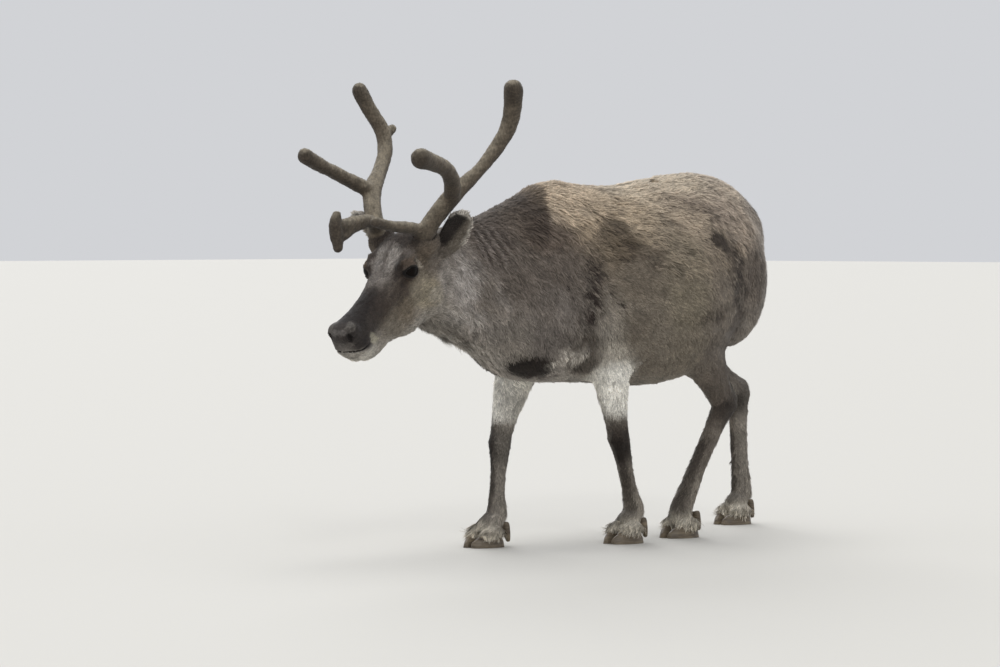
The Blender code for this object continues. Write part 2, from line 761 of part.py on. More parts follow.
def unite(obj, others):
    """One union with a collection of closed meshes, applied, after which they are removed."""
    group = bpy.data.collections.new("joined")
    bpy.context.scene.collection.children.link(group)
    for other in others:
        for home in list(other.users_collection):
            home.objects.unlink(other)
        group.objects.link(other)
    step = obj.modifiers.new("unite", "BOOLEAN")
    step.operation = "UNION"
    step.operand_type = "COLLECTION"
    step.collection = group
    step.solver = "EXACT"
    step.use_self = True
    apply_modifiers(obj)
    for other in list(group.objects):
        bpy.data.objects.remove(other)
    bpy.data.collections.remove(group)


def islands(mesh):
    """The closed surfaces of a mesh, each as a new mesh, largest first."""
    bm = bmesh.new()
    bm.from_mesh(mesh)
    bmesh.ops.triangulate(bm, faces=bm.faces, quad_method="FIXED", ngon_method="EAR_CLIP")
    folded = {}
    for face in bm.faces:
        folded.setdefault(frozenset(v.index for v in face.verts), []).append(face)
    doubles = [face for pair in folded.values() if len(pair) > 1 for face in pair]
    bmesh.ops.delete(bm, geom=doubles, context="FACES")
    left = set(bm.faces)
    found = []
    while left:
        seed = next(iter(left))
        left.remove(seed)
        stack, group = [seed], [seed]
        while stack:
            face = stack.pop()
            for edge in face.edges:
                for other in edge.link_faces:
                    if other in left:
                        left.remove(other)
                        stack.append(other)
                        group.append(other)
        found.append(group)
    found.sort(key=len, reverse=True)
    meshes = []
    for group in found:
        table = {}
        for face in sorted(group, key=lambda f: f.index):
            for vert in face.verts:
                table.setdefault(vert, len(table))
        out = bpy.data.meshes.new("island")
        out.from_pydata([v.co for v in table], [], [[table[v] for v in face.verts] for face in group])
        meshes.append(out)
    bm.free()
    return meshes


def keep_largest(obj):
    """Leaves the object only its largest closed surface."""
    old = obj.data
    obj.data = islands(old)[0]
    obj.data.name = obj.name
    for mat in old.materials:
        obj.data.materials.append(mat)


def name_islands(obj, landmarks, colours):
    """Each landmark takes the island whose surface comes nearest to it, as a node of its own."""
    pieces = [m for m in islands(obj.data) if len(m.polygons) > SCRAP_FACES]
    trees = []
    for mesh in pieces:
        bm = bmesh.new()
        bm.from_mesh(mesh)
        trees.append(BVHTree.FromBMesh(bm))
        bm.free()
    nodes = {}
    for name, spot in landmarks.items():
        best = min(range(len(pieces)), key=lambda i: trees[i].find_nearest(spot)[3])
        mesh = pieces[best].copy()
        mesh.name = name
        nodes[name] = new_object(name, mesh)
        mesh.materials.clear()
        mesh.materials.append(material(colours(name)))
    bpy.data.objects.remove(obj)
    return nodes


def mouth_slit():
    """A thin band round the muzzle that cuts the line of the mouth."""
    route = [(0.186, 0.050, -0.058), (0.205, 0.048, -0.054), (0.232, 0.043, -0.047), (0.256, 0.026, -0.042)]
    route = route + [(0.264, 0.0, -0.041)] + [(s, -w, h) for s, w, h in reversed(route)]
    rings = []
    rows = between(route, 2)
    for i, (s, w, h) in enumerate(rows):
        inward = Vector((0.170, 0, h)) - Vector((s, w, h))
        inward.normalize()
        edge = min(i, len(rows) - 1 - i)
        thick = 0.0022 if edge > 1 else 0.0010
        outer, inner = Vector((s, w, h)) - inward * 0.02, Vector((s, w, h)) + inward * 0.014
        up = Vector((0.2, 0, 1)) * thick / 2
        rings.append([on_head(*p) for p in (outer - up, inner - up * 0.5, inner + up * 0.5, outer + up)])
    return skin_rings("mouth_slit", rings)


def face_cutters():
    """Nostrils, the slit of the mouth and the openings between the lids."""
    cutters = [mouth_slit()]
    for sign in SIDES.values():
        turn = HEAD_FRAME.to_3x3().to_4x4()
        lean = Matrix.Rotation(sign * math.radians(35), 4, "X") @ Matrix.Rotation(math.radians(30), 4, "Y")
        cutters.append(ball("nostril", on_head(0.258, sign * 0.027, -0.004), (0.012, 0.0062, 0.0125),
                            turn @ lean, 2))
        s, w, h = EYE_SPOT
        slant = Matrix.Rotation(math.radians(8), 4, "Y")
        ahead, outward, up = Vector(EYE_LOOKS).normalized() * EYE_RADIUS
        facing = Matrix.Rotation(-sign * math.atan2(ahead, outward), 4, "Z")
        cutters.append(ball("lid_opening", on_head(s + ahead, sign * (w + outward), h + up),
                            LID_OPENING, turn @ facing @ slant, 3))
    return cutters


def body_parting():
    """Thin plates between head, neck, torso and the lengths of the legs."""
    plates = [
        slab("cut", Vector((-0.778, 0.0, 0.625)), (-1.0, -0.12, -0.10), 0.22),
        slab("cut", Vector((-0.505, 0.0, 0.610)), (-1.0, 0.0, -0.30), 0.30),
    ]
    for name, leg in LEGS.items():
        sign = SIDES[leg["side"]]
        joints = [Vector((x, sign * out, z)) for x, out, z in leg["joints"]]
        if name.startswith("front"):
            plates.append(slab("cut", Vector((joints[0].lerp(joints[1], 0.5).x, sign * 0.090, 0.366)),
                               (0, 0, 1), 0.075))
            plates.append(slab("cut", joints[1], joints[0] - joints[2], 0.060))
        else:
            shank = joints[2] - joints[1]
            plates.append(slab("cut", joints[1] + shank * 0.52, shank, 0.072))
            plates.append(slab("cut", joints[2] - Vector((0, 0, 0.034)), (0.1, 0, 1), 0.055))
    return plates


def body_landmarks():
    spots = {
        "head": on_head(0.10, 0, 0.02),
        "neck": Vector((-0.64, 0, 0.76)),
        "torso": Vector((-0.10, 0, 0.86)),
    }
    for name, leg in LEGS.items():
        sign = SIDES[leg["side"]]
        joints = [Vector((x, sign * out, z)) for x, out, z in leg["joints"]]
        if name.startswith("front"):
            spots[name + "_forearm"] = joints[0].lerp(joints[1], 0.75) + Vector((0, sign * 0.03, 0))
            spots[name + "_cannon"] = joints[1].lerp(joints[2], 0.5) + Vector((0, sign * 0.02, 0))
        else:
            spots[name + "_shank"] = joints[1].lerp(joints[2], 0.8) + Vector((0, sign * 0.03, 0))
            spots[name + "_cannon"] = joints[2].lerp(joints[3], 0.5) + Vector((0, sign * 0.02, 0))
    return spots


def body_colour(name):
    if name == "head":
        return "coat_head"
    if name == "neck":
        return "coat_neck"
    return "coat_body" if name == "torso" else "coat_leg"


def part_antler(obj, side):
    """Cuts a whole antler at its forks into the lower beam and its tines."""
    sign = SIDES[side]

    def at(row):
        return head_turn() @ Vector((row[0], sign * row[1], row[2]))

    beam, bez = BEAM[side], BEZ[side]
    bez_run = at(bez[2]) - at(bez[1])
    upper_run = at(beam[6]) - at(beam[5])
    brow_run = at(BROW[side][2]) - at(BROW[side][1])
    plates = [
        slab("cut", at(bez[1]).lerp(at(bez[2]), 0.5), bez_run, BEZ_SLAB),
        slab("cut", at(beam[5]), upper_run, 0.032),
        slab("cut", at(BROW[side][1]), brow_run, 0.026),
    ]
    cut(obj, plates)
    landmarks = {
        "antler_%s_lower_beam" % side: at(beam[3]),
        "antler_%s_bez_tine" % side: at(bez[3]),
        "antler_%s_upper_beam" % side: at(beam[7]),
        "antler_%s_brow_tine" % side: at(BROW[side][3]),
    }
    name_islands(obj, landmarks, lambda name: "velvet")


def stand_at_origin():
    """Moves the whole animal so that the origin is on the floor under its middle."""
    low, high = Vector((1e9,) * 3), Vector((-1e9,) * 3)
    for obj in bpy.data.objects:
        for vert in obj.data.vertices:
            low = Vector(map(min, low, vert.co))
            high = Vector(map(max, high, vert.co))
    shift = Vector((-(low.x + high.x) / 2, -(low.y + high.y) / 2, -low.z))
    for obj in bpy.data.objects:
        obj.data.transform(Matrix.Translation(shift))


def main():
    clear_scene()
    body = fuse("body", body_forms(), FUSE_VOXEL, 12)
    soften_trunk(body)
    weigh_detail(body)
    thin_out(body, BODY_TRIANGLES, "detail")

    sunk = []
    for side in SIDES:
        for piece, colour in ((eye(side), "eye"), (ear(side), "coat_head"), (antler(side), "velvet")):
            piece.data.materials.append(material(colour))
            sunk.append(piece)
    hair = tail()
    hair.data.materials.append(material("tail_hair"))
    sunk.append(hair)
    for name, leg in LEGS.items():
        sign = SIDES[leg["side"]]
        x, out = leg["foot"]
        pastern = leg["joints"][-2]
        for toe, inward in (("outer_toe", sign), ("inner_toe", -sign)):
            claw = hoof("%s_%s_hoof" % (name, toe), (x, sign * out), -inward)
            spur = dewclaw("%s_%s_dewclaw" % (name, toe), (x, sign * out), -inward,
                           (max(pastern[0] + 0.009, x + HEEL_CLEAR), pastern[2] - 0.019))
            for piece in (claw, spur):
                piece.data.materials.append(material("horn"))
                sunk.append(piece)

    cut(body, [fattened(piece) for piece in sunk] + face_cutters() + body_parting())
    name_islands(body, body_landmarks(), body_colour)
    unite(hair, tail_locks())
    keep_largest(hair)
    for side in SIDES:
        part_antler(bpy.data.objects["antler_" + side], side)
    stand_at_origin()


main()
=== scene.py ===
import json
import math

import bpy
import numpy as np
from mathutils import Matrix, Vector
from mathutils.bvhtree import BVHTree

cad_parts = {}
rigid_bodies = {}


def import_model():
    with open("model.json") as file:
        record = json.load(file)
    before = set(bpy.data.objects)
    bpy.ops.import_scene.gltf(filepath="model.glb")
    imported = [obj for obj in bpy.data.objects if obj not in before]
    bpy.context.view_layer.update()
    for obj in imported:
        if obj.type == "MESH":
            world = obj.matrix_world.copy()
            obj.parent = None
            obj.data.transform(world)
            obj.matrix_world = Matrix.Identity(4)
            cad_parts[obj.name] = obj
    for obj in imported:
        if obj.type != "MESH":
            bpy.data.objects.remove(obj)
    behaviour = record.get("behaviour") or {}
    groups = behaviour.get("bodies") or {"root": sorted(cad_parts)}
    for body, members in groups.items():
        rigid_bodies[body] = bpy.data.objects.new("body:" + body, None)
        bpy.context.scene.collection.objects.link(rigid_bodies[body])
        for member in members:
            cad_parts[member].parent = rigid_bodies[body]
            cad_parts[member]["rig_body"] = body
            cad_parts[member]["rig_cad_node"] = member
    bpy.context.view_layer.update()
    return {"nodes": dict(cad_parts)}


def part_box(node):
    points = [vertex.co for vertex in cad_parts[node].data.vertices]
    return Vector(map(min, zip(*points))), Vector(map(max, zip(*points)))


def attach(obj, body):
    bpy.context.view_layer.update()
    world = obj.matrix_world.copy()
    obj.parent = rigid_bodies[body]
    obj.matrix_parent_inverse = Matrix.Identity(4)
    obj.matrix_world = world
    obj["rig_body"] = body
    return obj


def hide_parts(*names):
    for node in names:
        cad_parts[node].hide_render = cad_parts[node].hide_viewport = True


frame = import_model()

nodes = frame["nodes"]
dice = np.random.default_rng(41)


# small helpers used by every piece

def deselectAll():
    for obj in list(bpy.context.selected_objects):
        obj.select_set(False)


def pick(*objs):
    deselectAll()
    for obj in objs:
        obj.select_set(True)
    bpy.context.view_layer.objects.active = objs[0]


def applyAll(obj):
    pick(obj)
    for mod in list(obj.modifiers):
        bpy.ops.object.modifier_apply(modifier=mod.name)


def tone(code):
    # a given screen colour as the linear values that shaders take
    parts = [int(code[i:i + 2], 16) / 255 for i in (1, 3, 5)]
    return np.array([c / 12.92 if c <= 0.04045 else ((c + 0.055) / 1.055) ** 2.4 for c in parts])


def blendTone(colour, code, weight):
    colour[:] = colour * (1 - weight[:, None]) + tone(code) * weight[:, None]


def unit(rows):
    return rows / np.maximum(np.linalg.norm(rows, axis=-1, keepdims=True), 1e-9)


def ease(t):
    t = np.clip(t, 0.0, 1.0)
    return t * t * (3 - 2 * t)


wander = {"octaves": 3, "waves": 5, "finer": 1.6, "weaker": 0.75, "range": 3.4}


def drift(points, grain, seed):
    # smooth wandering value from -1 to 1, with features about `grain` metres wide
    rng = np.random.default_rng(seed)
    total = np.zeros(len(points))
    for octave in range(wander["octaves"]):
        for wave in range(wander["waves"]):
            way = rng.normal(size=3)
            pace = 2 * math.pi * (wander["finer"] ** octave)
            way *= pace * rng.uniform(0.5, 1.1) / (grain * np.linalg.norm(way))
            total += np.sin(points @ way + rng.uniform(0, 6.28)) * wander["weaker"] ** octave
    return np.clip(total / wander["range"], -1, 1)


def driftWay(points, grain, seeds):
    return np.column_stack([drift(points, grain, seed) for seed in seeds])


def readVectors(store, key):
    out = np.empty(len(store) * 3)
    store.foreach_get(key, out)
    return out.reshape(-1, 3)


def vertexArray(mesh):
    return readVectors(mesh.vertices, "co")


def vertexNormals(mesh):
    return readVectors(mesh.vertex_normals, "vector")


def movePoints(mesh, points):
    mesh.vertices.foreach_set("co", points.ravel())
    mesh.update()


def storeTone(mesh, colour):
    store = mesh.color_attributes.new("coat", "FLOAT_COLOR", "POINT")
    store.data.foreach_set("color", np.column_stack([colour, np.ones(len(colour))]).ravel())


copying = {"weld": 0.00004, "swell": 0.0005}    # m, and the swell closes the cuts between the nodes


def copyOf(nodeNames, newName, swell=0.0):
    # one merged copy of some CAD nodes
    copies = []
    for name in nodeNames:
        twin = nodes[name].copy()
        twin.data = nodes[name].data.copy()
        bpy.context.scene.collection.objects.link(twin)
        twin.parent = None
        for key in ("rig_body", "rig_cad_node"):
            if key in twin:
                del twin[key]
        copies.append(twin)
    pick(*copies)
    if len(copies) > 1:
        bpy.ops.object.join()
    joined = bpy.context.view_layer.objects.active
    joined.name = newName
    joined.data.name = newName
    joined.data.materials.clear()
    bpy.ops.object.mode_set(mode="EDIT")
    bpy.ops.mesh.select_all(action="SELECT")
    bpy.ops.mesh.remove_doubles(threshold=copying["weld"])
    bpy.ops.mesh.normals_make_consistent(inside=False)
    if swell:
        bpy.ops.transform.shrink_fatten(value=swell)
    bpy.ops.object.mode_set(mode="OBJECT")
    return joined


def oneSurface(obj, voxel, rounds):
    # remeshes overlapping parts into one closed surface and softens it
    remesh = obj.modifiers.new("flesh", "REMESH")
    remesh.mode = "VOXEL"
    remesh.voxel_size = voxel
    soft = obj.modifiers.new("soft", "SMOOTH")
    soft.factor = 0.5
    soft.iterations = rounds
    applyAll(obj)


# the head's own axes: forward along the nose, aside to the animal's right, up through the forehead

def middleOf(name):
    low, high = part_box(name)
    return (low + high) / 2


headPlan = {
    "noseDown": 34.0,      # degrees that the nose line dips
    "eyeAhead": 0.016,     # of the eyes before the head's middle point
    "eyeAside": 0.0515,
    "eyeAbove": 0.010,
}
headSide = (middleOf("eye_right") - middleOf("eye_left")).normalized()
headAhead = Vector((0, 0, 1)).cross(headSide) * math.cos(math.radians(headPlan["noseDown"]))
headAhead.z = -math.sin(math.radians(headPlan["noseDown"]))
headUp = headSide.cross(-headAhead).normalized()
if headUp.z < 0:
    headUp.negate()
headMiddle = (middleOf("eye_right") + middleOf("eye_left")) / 2
headMiddle -= headAhead * headPlan["eyeAhead"] + headUp * headPlan["eyeAbove"]
headAxes = np.array([headAhead, headSide, headUp])


def onHead(ahead, aside, up):
    return headMiddle + headAhead * ahead + headSide * aside + headUp * up


def toHead(points):
    # world points as forward, aside, up from the head's middle
    return (points - np.array(headMiddle)) @ headAxes.T


def fromHead(onFace):
    return onFace @ headAxes + np.array(headMiddle)


midLine = (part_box("torso")[0].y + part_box("torso")[1].y) / 2
print("frame read, head axes", [round(v, 3) for v in headAhead])


# the coat at named places, which every other place blends between
# each row: place and lie, both as along the body, out from the midline and up, then the length of
# the hair, its lift in degrees, the depth of the coat and its tone.  Places, lengths and depths in mm

bodyCoat = {
    "poll": ((-452, 22, 735), (0.8, 0.25, -0.5), 14, 14, 3, "#7d766f"),
    "crest": ((-345, 25, 762), (0.8, 0.3, -0.5), 20, 14, 5, "#655b53"),
    "neckTopSide": ((-315, 62, 715), (0.72, 0.1, -0.7), 20, 12, 5, "#635952"),
    "behindEar": ((-425, 65, 690), (0.65, 0.2, -0.7), 18, 13, 4, "#8d857d"),
    "neckCheek": ((-425, 70, 620), (0.55, 0.1, -0.85), 22, 13, 5, "#aaa39d"),
    "neckSide": ((-345, 85, 600), (0.62, 0.05, -0.78), 26, 12, 6, "#7e766e"),
    "neckRear": ((-255, 100, 640), (0.62, 0.05, -0.78), 24, 12, 6, "#70675f"),
    "throatTop": ((-450, 20, 530), (0.75, 0, -0.5), 32, 20, 5, "#8b857d"),
    "throat": ((-385, 0, 485), (0.6, 0, -0.8), 46, 26, 7, "#b0aaa2"),
    "neckLow": ((-365, 55, 505), (0.6, 0.05, -0.8), 28, 14, 6, "#8e8780"),
    "chest": ((-275, 0, 430), (0.55, 0, -0.8), 32, 14, 7, "#a9a29a"),
    "chestSide": ((-245, 85, 480), (0.5, 0.1, -0.88), 26, 12, 6, "#857e76"),
    "brisket": ((-165, 0, 395), (0.8, 0, -0.3), 26, 12, 6, "#a39c94"),
    "withersFront": ((-205, 30, 815), (0.75, 0.3, -0.6), 20, 12, 5, "#5d534a"),
    "withers": ((-85, 20, 860), (0.9, 0.15, -0.2), 22, 13, 6, "#c4b096"),
    "withersSide": ((-60, 85, 800), (0.8, 0.15, -0.6), 34, 15, 6, "#b5a38b"),
    "shoulderTop": ((-150, 85, 740), (0.65, 0.1, -0.75), 34, 15, 6, "#6d6157"),
    "shoulderMid": ((-145, 118, 660), (0.6, 0, -0.8), 22, 12, 6, "#6c635b"),
    "shoulder": ((-165, 122, 570), (0.45, 0, -0.9), 20, 11, 5, "#756d66"),
    "shoulderLow": ((-185, 108, 490), (0.45, -0.1, -0.88), 20, 11, 5, "#726b65"),
    "elbow": ((-60, 122, 440), (0.3, 0, -0.95), 20, 12, 5, "#5f5850"),
    "axilla": ((-90, 60, 395), (0.7, 0.1, -0.6), 24, 12, 5, "#a9a29a"),
    "backFront": ((20, 30, 852), (1, 0.1, -0.1), 22, 12, 6, "#c6b49c"),
    "back": ((150, 30, 845), (1, 0.1, -0.1), 22, 12, 6, "#c9baa4"),
    "backSide": ((110, 110, 785), (0.93, 0.1, -0.35), 34, 15, 6, "#b3a38d"),
    "ribTop": ((50, 135, 720), (0.9, 0.05, -0.42), 34, 15, 6, "#6f6353"),
    "rib": ((80, 163, 640), (0.88, 0.05, -0.45), 20, 10, 5, "#7a7063"),
    "ribLow": ((80, 165, 510), (0.8, 0, -0.55), 18, 10, 4, "#766d61"),
    "belly": ((120, 50, 383), (0.95, 0, -0.15), 24, 12, 5, "#8d8579"),
    "bellySide": ((120, 130, 430), (0.8, -0.2, -0.5), 20, 11, 5, "#7a7165"),
    "loin": ((330, 35, 865), (1, 0.1, -0.05), 22, 12, 6, "#cbbda8"),
    "loinSide": ((290, 130, 780), (0.92, 0.1, -0.35), 34, 15, 6, "#b0a18e"),
    "flankTop": ((240, 170, 680), (0.88, 0.05, -0.42), 34, 15, 6, "#8f8473"),
    "flank": ((240, 187, 580), (0.85, 0, -0.5), 20, 10, 5, "#827969"),
    "flankLow": ((270, 165, 450), (0.6, -0.2, -0.7), 20, 11, 5, "#7c7366"),
    "bellyRear": ((340, 50, 420), (0.8, 0, -0.4), 22, 12, 5, "#948c80"),
    "rump": ((500, 45, 850), (0.9, 0.1, -0.4), 24, 13, 6, "#beb09e"),
    "rumpSide": ((460, 140, 765), (0.75, 0.1, -0.65), 34, 15, 6, "#a99b8c"),
    "hip": ((390, 168, 690), (0.65, 0.05, -0.75), 22, 12, 6, "#8b7f70"),
    "thigh": ((400, 182, 590), (0.35, 0.05, -0.93), 18, 10, 5, "#857b6f"),
    "thighLow": ((430, 140, 480), (0.3, 0, -0.95), 16, 10, 4, "#7b7268"),
    "thighRear": ((545, 140, 640), (0.2, -0.1, -0.97), 20, 11, 5, "#6f655c"),
    "rumpEnd": ((610, 85, 760), (0.45, 0, -0.9), 22, 13, 6, "#a79c90"),
    "buttock": ((620, 65, 660), (0.1, 0, -1), 20, 12, 5, "#b3aca4"),
    "innerThigh": ((480, 30, 520), (0.2, 0, -1), 16, 10, 4, "#aaa39a"),
    "tailTop": ((655, 12, 775), (0.5, 0.1, -0.85), 30, 12, 4, "#a59a8d"),
    "tailEnd": ((680, 12, 690), (0.25, 0, -1), 46, 12, 6, "#c4beb6"),
}

# the same, with places and lies on the head's own axes
headCoat = {
    "noseTip": ((255, 12, 10), (-1, 0.2, 0.3), 3, 10, 1, "#5b5551"),
    "noseTop": ((205, 10, 22), (-1, 0.1, 0.1), 4, 10, 1, "#3d3633"),
    "noseSide": ((205, 40, -10), (-1, 0.2, -0.1), 4, 10, 1, "#3b3431"),
    "muzzleTop": ((140, 12, 26), (-1, 0.15, 0), 5, 10, 1, "#4a423d"),
    "muzzleSide": ((140, 40, -20), (-1, 0.1, -0.1), 5, 10, 1, "#574d43"),
    "upperLip": ((225, 36, -42), (-1, 0.1, -0.3), 4, 10, 1, "#3b3431"),
    "chin": ((225, 10, -85), (-1, 0, -0.2), 7, 14, 1.5, "#c9c4bb"),
    "lowerLip": ((240, 25, -62), (-1, 0.1, -0.2), 5, 12, 1, "#b9b3aa"),
    "jawFront": ((150, 20, -105), (-1, 0, -0.1), 8, 12, 2, "#a8a198"),
    "jawSide": ((130, 38, -70), (-1, 0, -0.1), 7, 11, 1.5, "#7a7266"),
    "cheekFront": ((70, 45, -50), (-1, 0.1, -0.1), 7, 11, 1.5, "#7c7162"),
    "cheek": ((-10, 62, -70), (-1, 0.1, -0.2), 10, 12, 2, "#9a907d"),
    "jawRear": ((-5, 45, -125), (-1, 0, -0.2), 11, 12, 2.5, "#a59e95"),
    "jawBottom": ((40, 5, -125), (-1, 0, 0), 10, 13, 2.5, "#b1aba3"),
    "underEye": ((40, 55, -22), (-1, 0.1, -0.1), 5, 10, 1, "#564c42"),
    "browInner": ((10, 30, 46), (-1, 0.3, 0.2), 8, 13, 1.5, "#6f6761"),
    "forehead": ((15, 0, 56), (-1, 0.1, 0.2), 10, 14, 2, "#8f8882"),
    "foreheadLow": ((65, 10, 45), (-1, 0.2, 0.1), 8, 13, 1.5, "#857e78"),
    "crown": ((-60, 0, 62), (-1, 0.1, 0), 12, 14, 2.5, "#4f4640"),
    "eyeRear": ((-30, 65, 12), (-1, 0.1, -0.1), 7, 11, 1, "#6a5f53"),
    "temple": ((-60, 66, -10), (-1, 0.1, -0.4), 10, 12, 2, "#766d64"),
    "cheekRear": ((-80, 60, -70), (-1, 0.1, -0.5), 14, 12, 3, "#a49d96"),
}

# length, lift, depth and tone at each joint of a leg, from the elbow and stifle down to the hooves
legCoat = {
    "front": [(18, 11, 2.5, "#cbc4b8"), (9, 9, 1.5, "#4e463f"), (12, 11, 1.5, "#a0978b"),
              (26, 5, 1.5, "#e0d8c8")],
    "hind": [(15, 10, 3, "#7b7268"), (12, 9, 2.5, "#6d645b"), (10, 9, 1.5, "#615850"),
             (13, 11, 1.5, "#978e82"), (26, 5, 1.5, "#d8d0c0")],
}
# in m.  The hind leg's first joint is inside the thigh and only gives the direction
legJoints = {
    "front_left": [(0.041, -0.100, 0.475), (0.107, -0.083, 0.250),
                   (0.165, -0.079, 0.078), (0.125, -0.079, 0.030)],
    "front_right": [(-0.035, 0.110, 0.450), (-0.117, 0.093, 0.240),
                    (-0.134, 0.089, 0.076), (-0.179, 0.089, 0.030)],
    "hind_left": [(0.488, -0.080, 0.640), (0.355, -0.110, 0.475), (0.498, -0.083, 0.320),
                  (0.353, -0.073, 0.082), (0.337, -0.073, 0.030)],
    "hind_right": [(0.528, 0.090, 0.640), (0.515, 0.120, 0.475), (0.761, 0.091, 0.334),
                   (0.769, 0.083, 0.080), (0.731, 0.083, 0.030)],
}
blending = {
    "trunkLong": 0.8,      # the trunk's rows are worn down by these
    "trunkLift": 0.75,
    "trunkDeep": 0.8,
    "near": 0.012,         # places closer than this count as equally near, m
    "power": -2.2,         # of the squared distance
    "batch": 20000,        # points at a time
}


def gatherGuides():
    rows = []
    for at, lie, long, lift, deep, shade in bodyCoat.values():
        sizes = (long * blending["trunkLong"], lift * blending["trunkLift"], deep * blending["trunkDeep"])
        for side in (-1, 1):
            place = (at[0] / 1000, midLine + side * at[1] / 1000, at[2] / 1000)
            rows.append((place, (lie[0], side * lie[1], lie[2]), *sizes, tone(shade)))
    for at, lie, *sizes, shade in headCoat.values():
        for side in (-1, 1):
            place = onHead(at[0] / 1000, side * at[1] / 1000, at[2] / 1000)
            way = headAhead * lie[0] + headSide * side * lie[1] + headUp * lie[2]
            rows.append((place, way, *sizes, tone(shade)))
    for leg, joints in legJoints.items():
        plan = legCoat[leg.split("_")[0]]
        for i in range(1 if leg.startswith("hind") else 0, len(joints)):
            *sizes, shade = plan[i]
            before, after = Vector(joints[max(i - 1, 0)]), Vector(joints[min(i + 1, len(joints) - 1)])
            rows.append((joints[i], (after - before).normalized(), *sizes, tone(shade)))
            if i + 1 < len(joints):
                half = (Vector(joints[i]) + Vector(joints[i + 1])) / 2
                run = (Vector(joints[i + 1]) - Vector(joints[i])).normalized()
                mix = [(a + b) / 2 for a, b in zip(sizes, plan[i + 1])]
                rows.append((half, run, *mix, (tone(shade) + tone(plan[i + 1][-1])) / 2))
    at, lie, long, lift, deep, colour = zip(*rows)
    return (np.array(at, float), unit(np.array(lie, float)),
            np.column_stack([long, lift, deep]).astype(float), np.array(colour))


guideAt, guideLie, guideSizes, guideTone = gatherGuides()


# the ears: a cup with dark lining, a pale rim and short hair that runs from root to tip

ear = {
    "opens": (0.524, 0.620, 0.474),    # where the cup faces: ahead, aside, up
    "reach": 0.007,                    # skin this near to the ear's solid belongs to it
    "search": 0.03,
    "root": 0.12,                      # share of the solid's points, nearest the head, around its root
    "start": 0.16,                     # share of the length where the ear comes free
    "early": 0.10,                     # and how much sooner the change to its own coat begins
    "stops": 10,                       # places along it where its width is measured
    "fan": 0.5,                        # how far the hair fans out to the edges
    "long": (6, 3, 2),                 # mm, and more at the rim and in the cup
    "lift": (12, 6),                   # degrees, and more in the cup
    "deep": 0.6,
    "outside": "#857d75",
    "lining": "#332d2a",
    "liningPale": "#8d8478",
    "rim": "#cdc7be",
}
earWidths = np.linspace(0, 1, 2 * ear["stops"] + 1)


def binned(level, value):
    # the greatest value in each equal part of the level
    stops, tops = [], []
    for k in range(ear["stops"]):
        inside = (level >= k / ear["stops"]) & (level <= (k + 1) / ear["stops"])
        if inside.any():
            stops.append((k + 0.5) / ear["stops"])
            tops.append(value[inside].max())
    return stops, tops


def readEar(side):
    mesh = nodes["ear_left" if side < 0 else "ear_right"].data
    points = vertexArray(mesh)
    away = np.linalg.norm(points - np.array(headMiddle), axis=1)
    tip = points[away.argmax()]
    root = points[away < np.quantile(away, ear["root"])].mean(0)
    length = np.linalg.norm(tip - root)
    axis = (tip - root) / length
    opens = headAxes.T @ (np.array(ear["opens"]) * np.array([1, side, 1]))
    opens = unit(opens - axis * (opens @ axis))
    across = np.cross(axis, opens)
    level = (points - root) @ axis / length
    widest = np.interp(earWidths, *binned(level, np.abs((points - root) @ across)))
    tree = BVHTree.FromPolygons([tuple(p) for p in points], [p.vertices[:] for p in mesh.polygons])
    return dict(root=root, axis=axis, opens=opens, across=across, length=length, widest=widest, tree=tree)


ears = [readEar(-1), readEar(1)]


def dressEars(points, facing, lie, sizes, colour):
    for shape in ears:
        away = points - shape["root"]
        level = away @ shape["axis"] / shape["length"]
        inRange = np.linalg.norm(away, axis=1) < shape["length"] * 1.2
        close = np.nonzero((level > ear["start"] - ear["early"]) & inRange)[0]
        hits = [shape["tree"].find_nearest(points[i], ear["search"])[3] for i in close]
        near = np.array([ear["reach"] >= hit if hit is not None else False for hit in hits], bool)
        mine = close[near]
        if not len(mine):
            continue
        level = level[mine]
        sideways = away[mine] @ shape["across"]
        share = np.abs(sideways) / np.interp(level, earWidths, shape["widest"])
        inside = ease((facing[mine] @ shape["opens"] + 0.05) / 0.3)
        rim = ease((share - 0.72) / 0.22) + ease((level - 0.86) / 0.1)
        rim = np.clip(rim, 0, 1) * ease((level - 0.25) / 0.2)
        free = ease((level - ear["start"] + ear["early"]) / 0.12)[:, None]
        fan = shape["across"] * (np.sign(sideways) * np.minimum(share, 1) * ear["fan"])[:, None]
        lie[mine] = lie[mine] * (1 - free) + (shape["axis"] + fan) * free
        long, more, inner = ear["long"]
        lift, steeper = ear["lift"]
        own = [long + more * rim + inner * inside, lift + steeper * inside, np.full(len(mine), ear["deep"])]
        sizes[mine] = sizes[mine] * (1 - free) + np.column_stack(own) * free
        pale = ease((sideways * np.sign(shape["across"][0]) / 0.02 - 0.1) / 0.8)[:, None] * 0.7
        lining = tone(ear["lining"]) + (tone(ear["liningPale"]) - tone(ear["lining"])) * pale
        ground = tone(ear["outside"]) * (1 - inside[:, None]) + lining * inside[:, None]
        blendTone(ground, ear["rim"], rim)
        colour[mine] = colour[mine] * (1 - free) + ground * free


def coatAt(points, facing):
    # blended lie, (length mm, lift degrees, depth mm) and ground colour at each point
    lie, sizes, colour = (np.empty((len(points), 3)) for k in range(3))
    for start in range(0, len(points), blending["batch"]):
        some = slice(start, start + blending["batch"])
        gap = ((points[some, None, :] - guideAt[None, :, :]) ** 2).sum(-1) + blending["near"] ** 2
        weight = gap ** blending["power"]
        weight /= weight.sum(1, keepdims=True)
        lie[some] = weight @ guideLie
        sizes[some] = weight @ guideSizes
        colour[some] = weight @ guideTone
    dressEars(points, facing, lie, sizes, colour)
    return lie, sizes, colour


print("coat guides", len(guideAt))


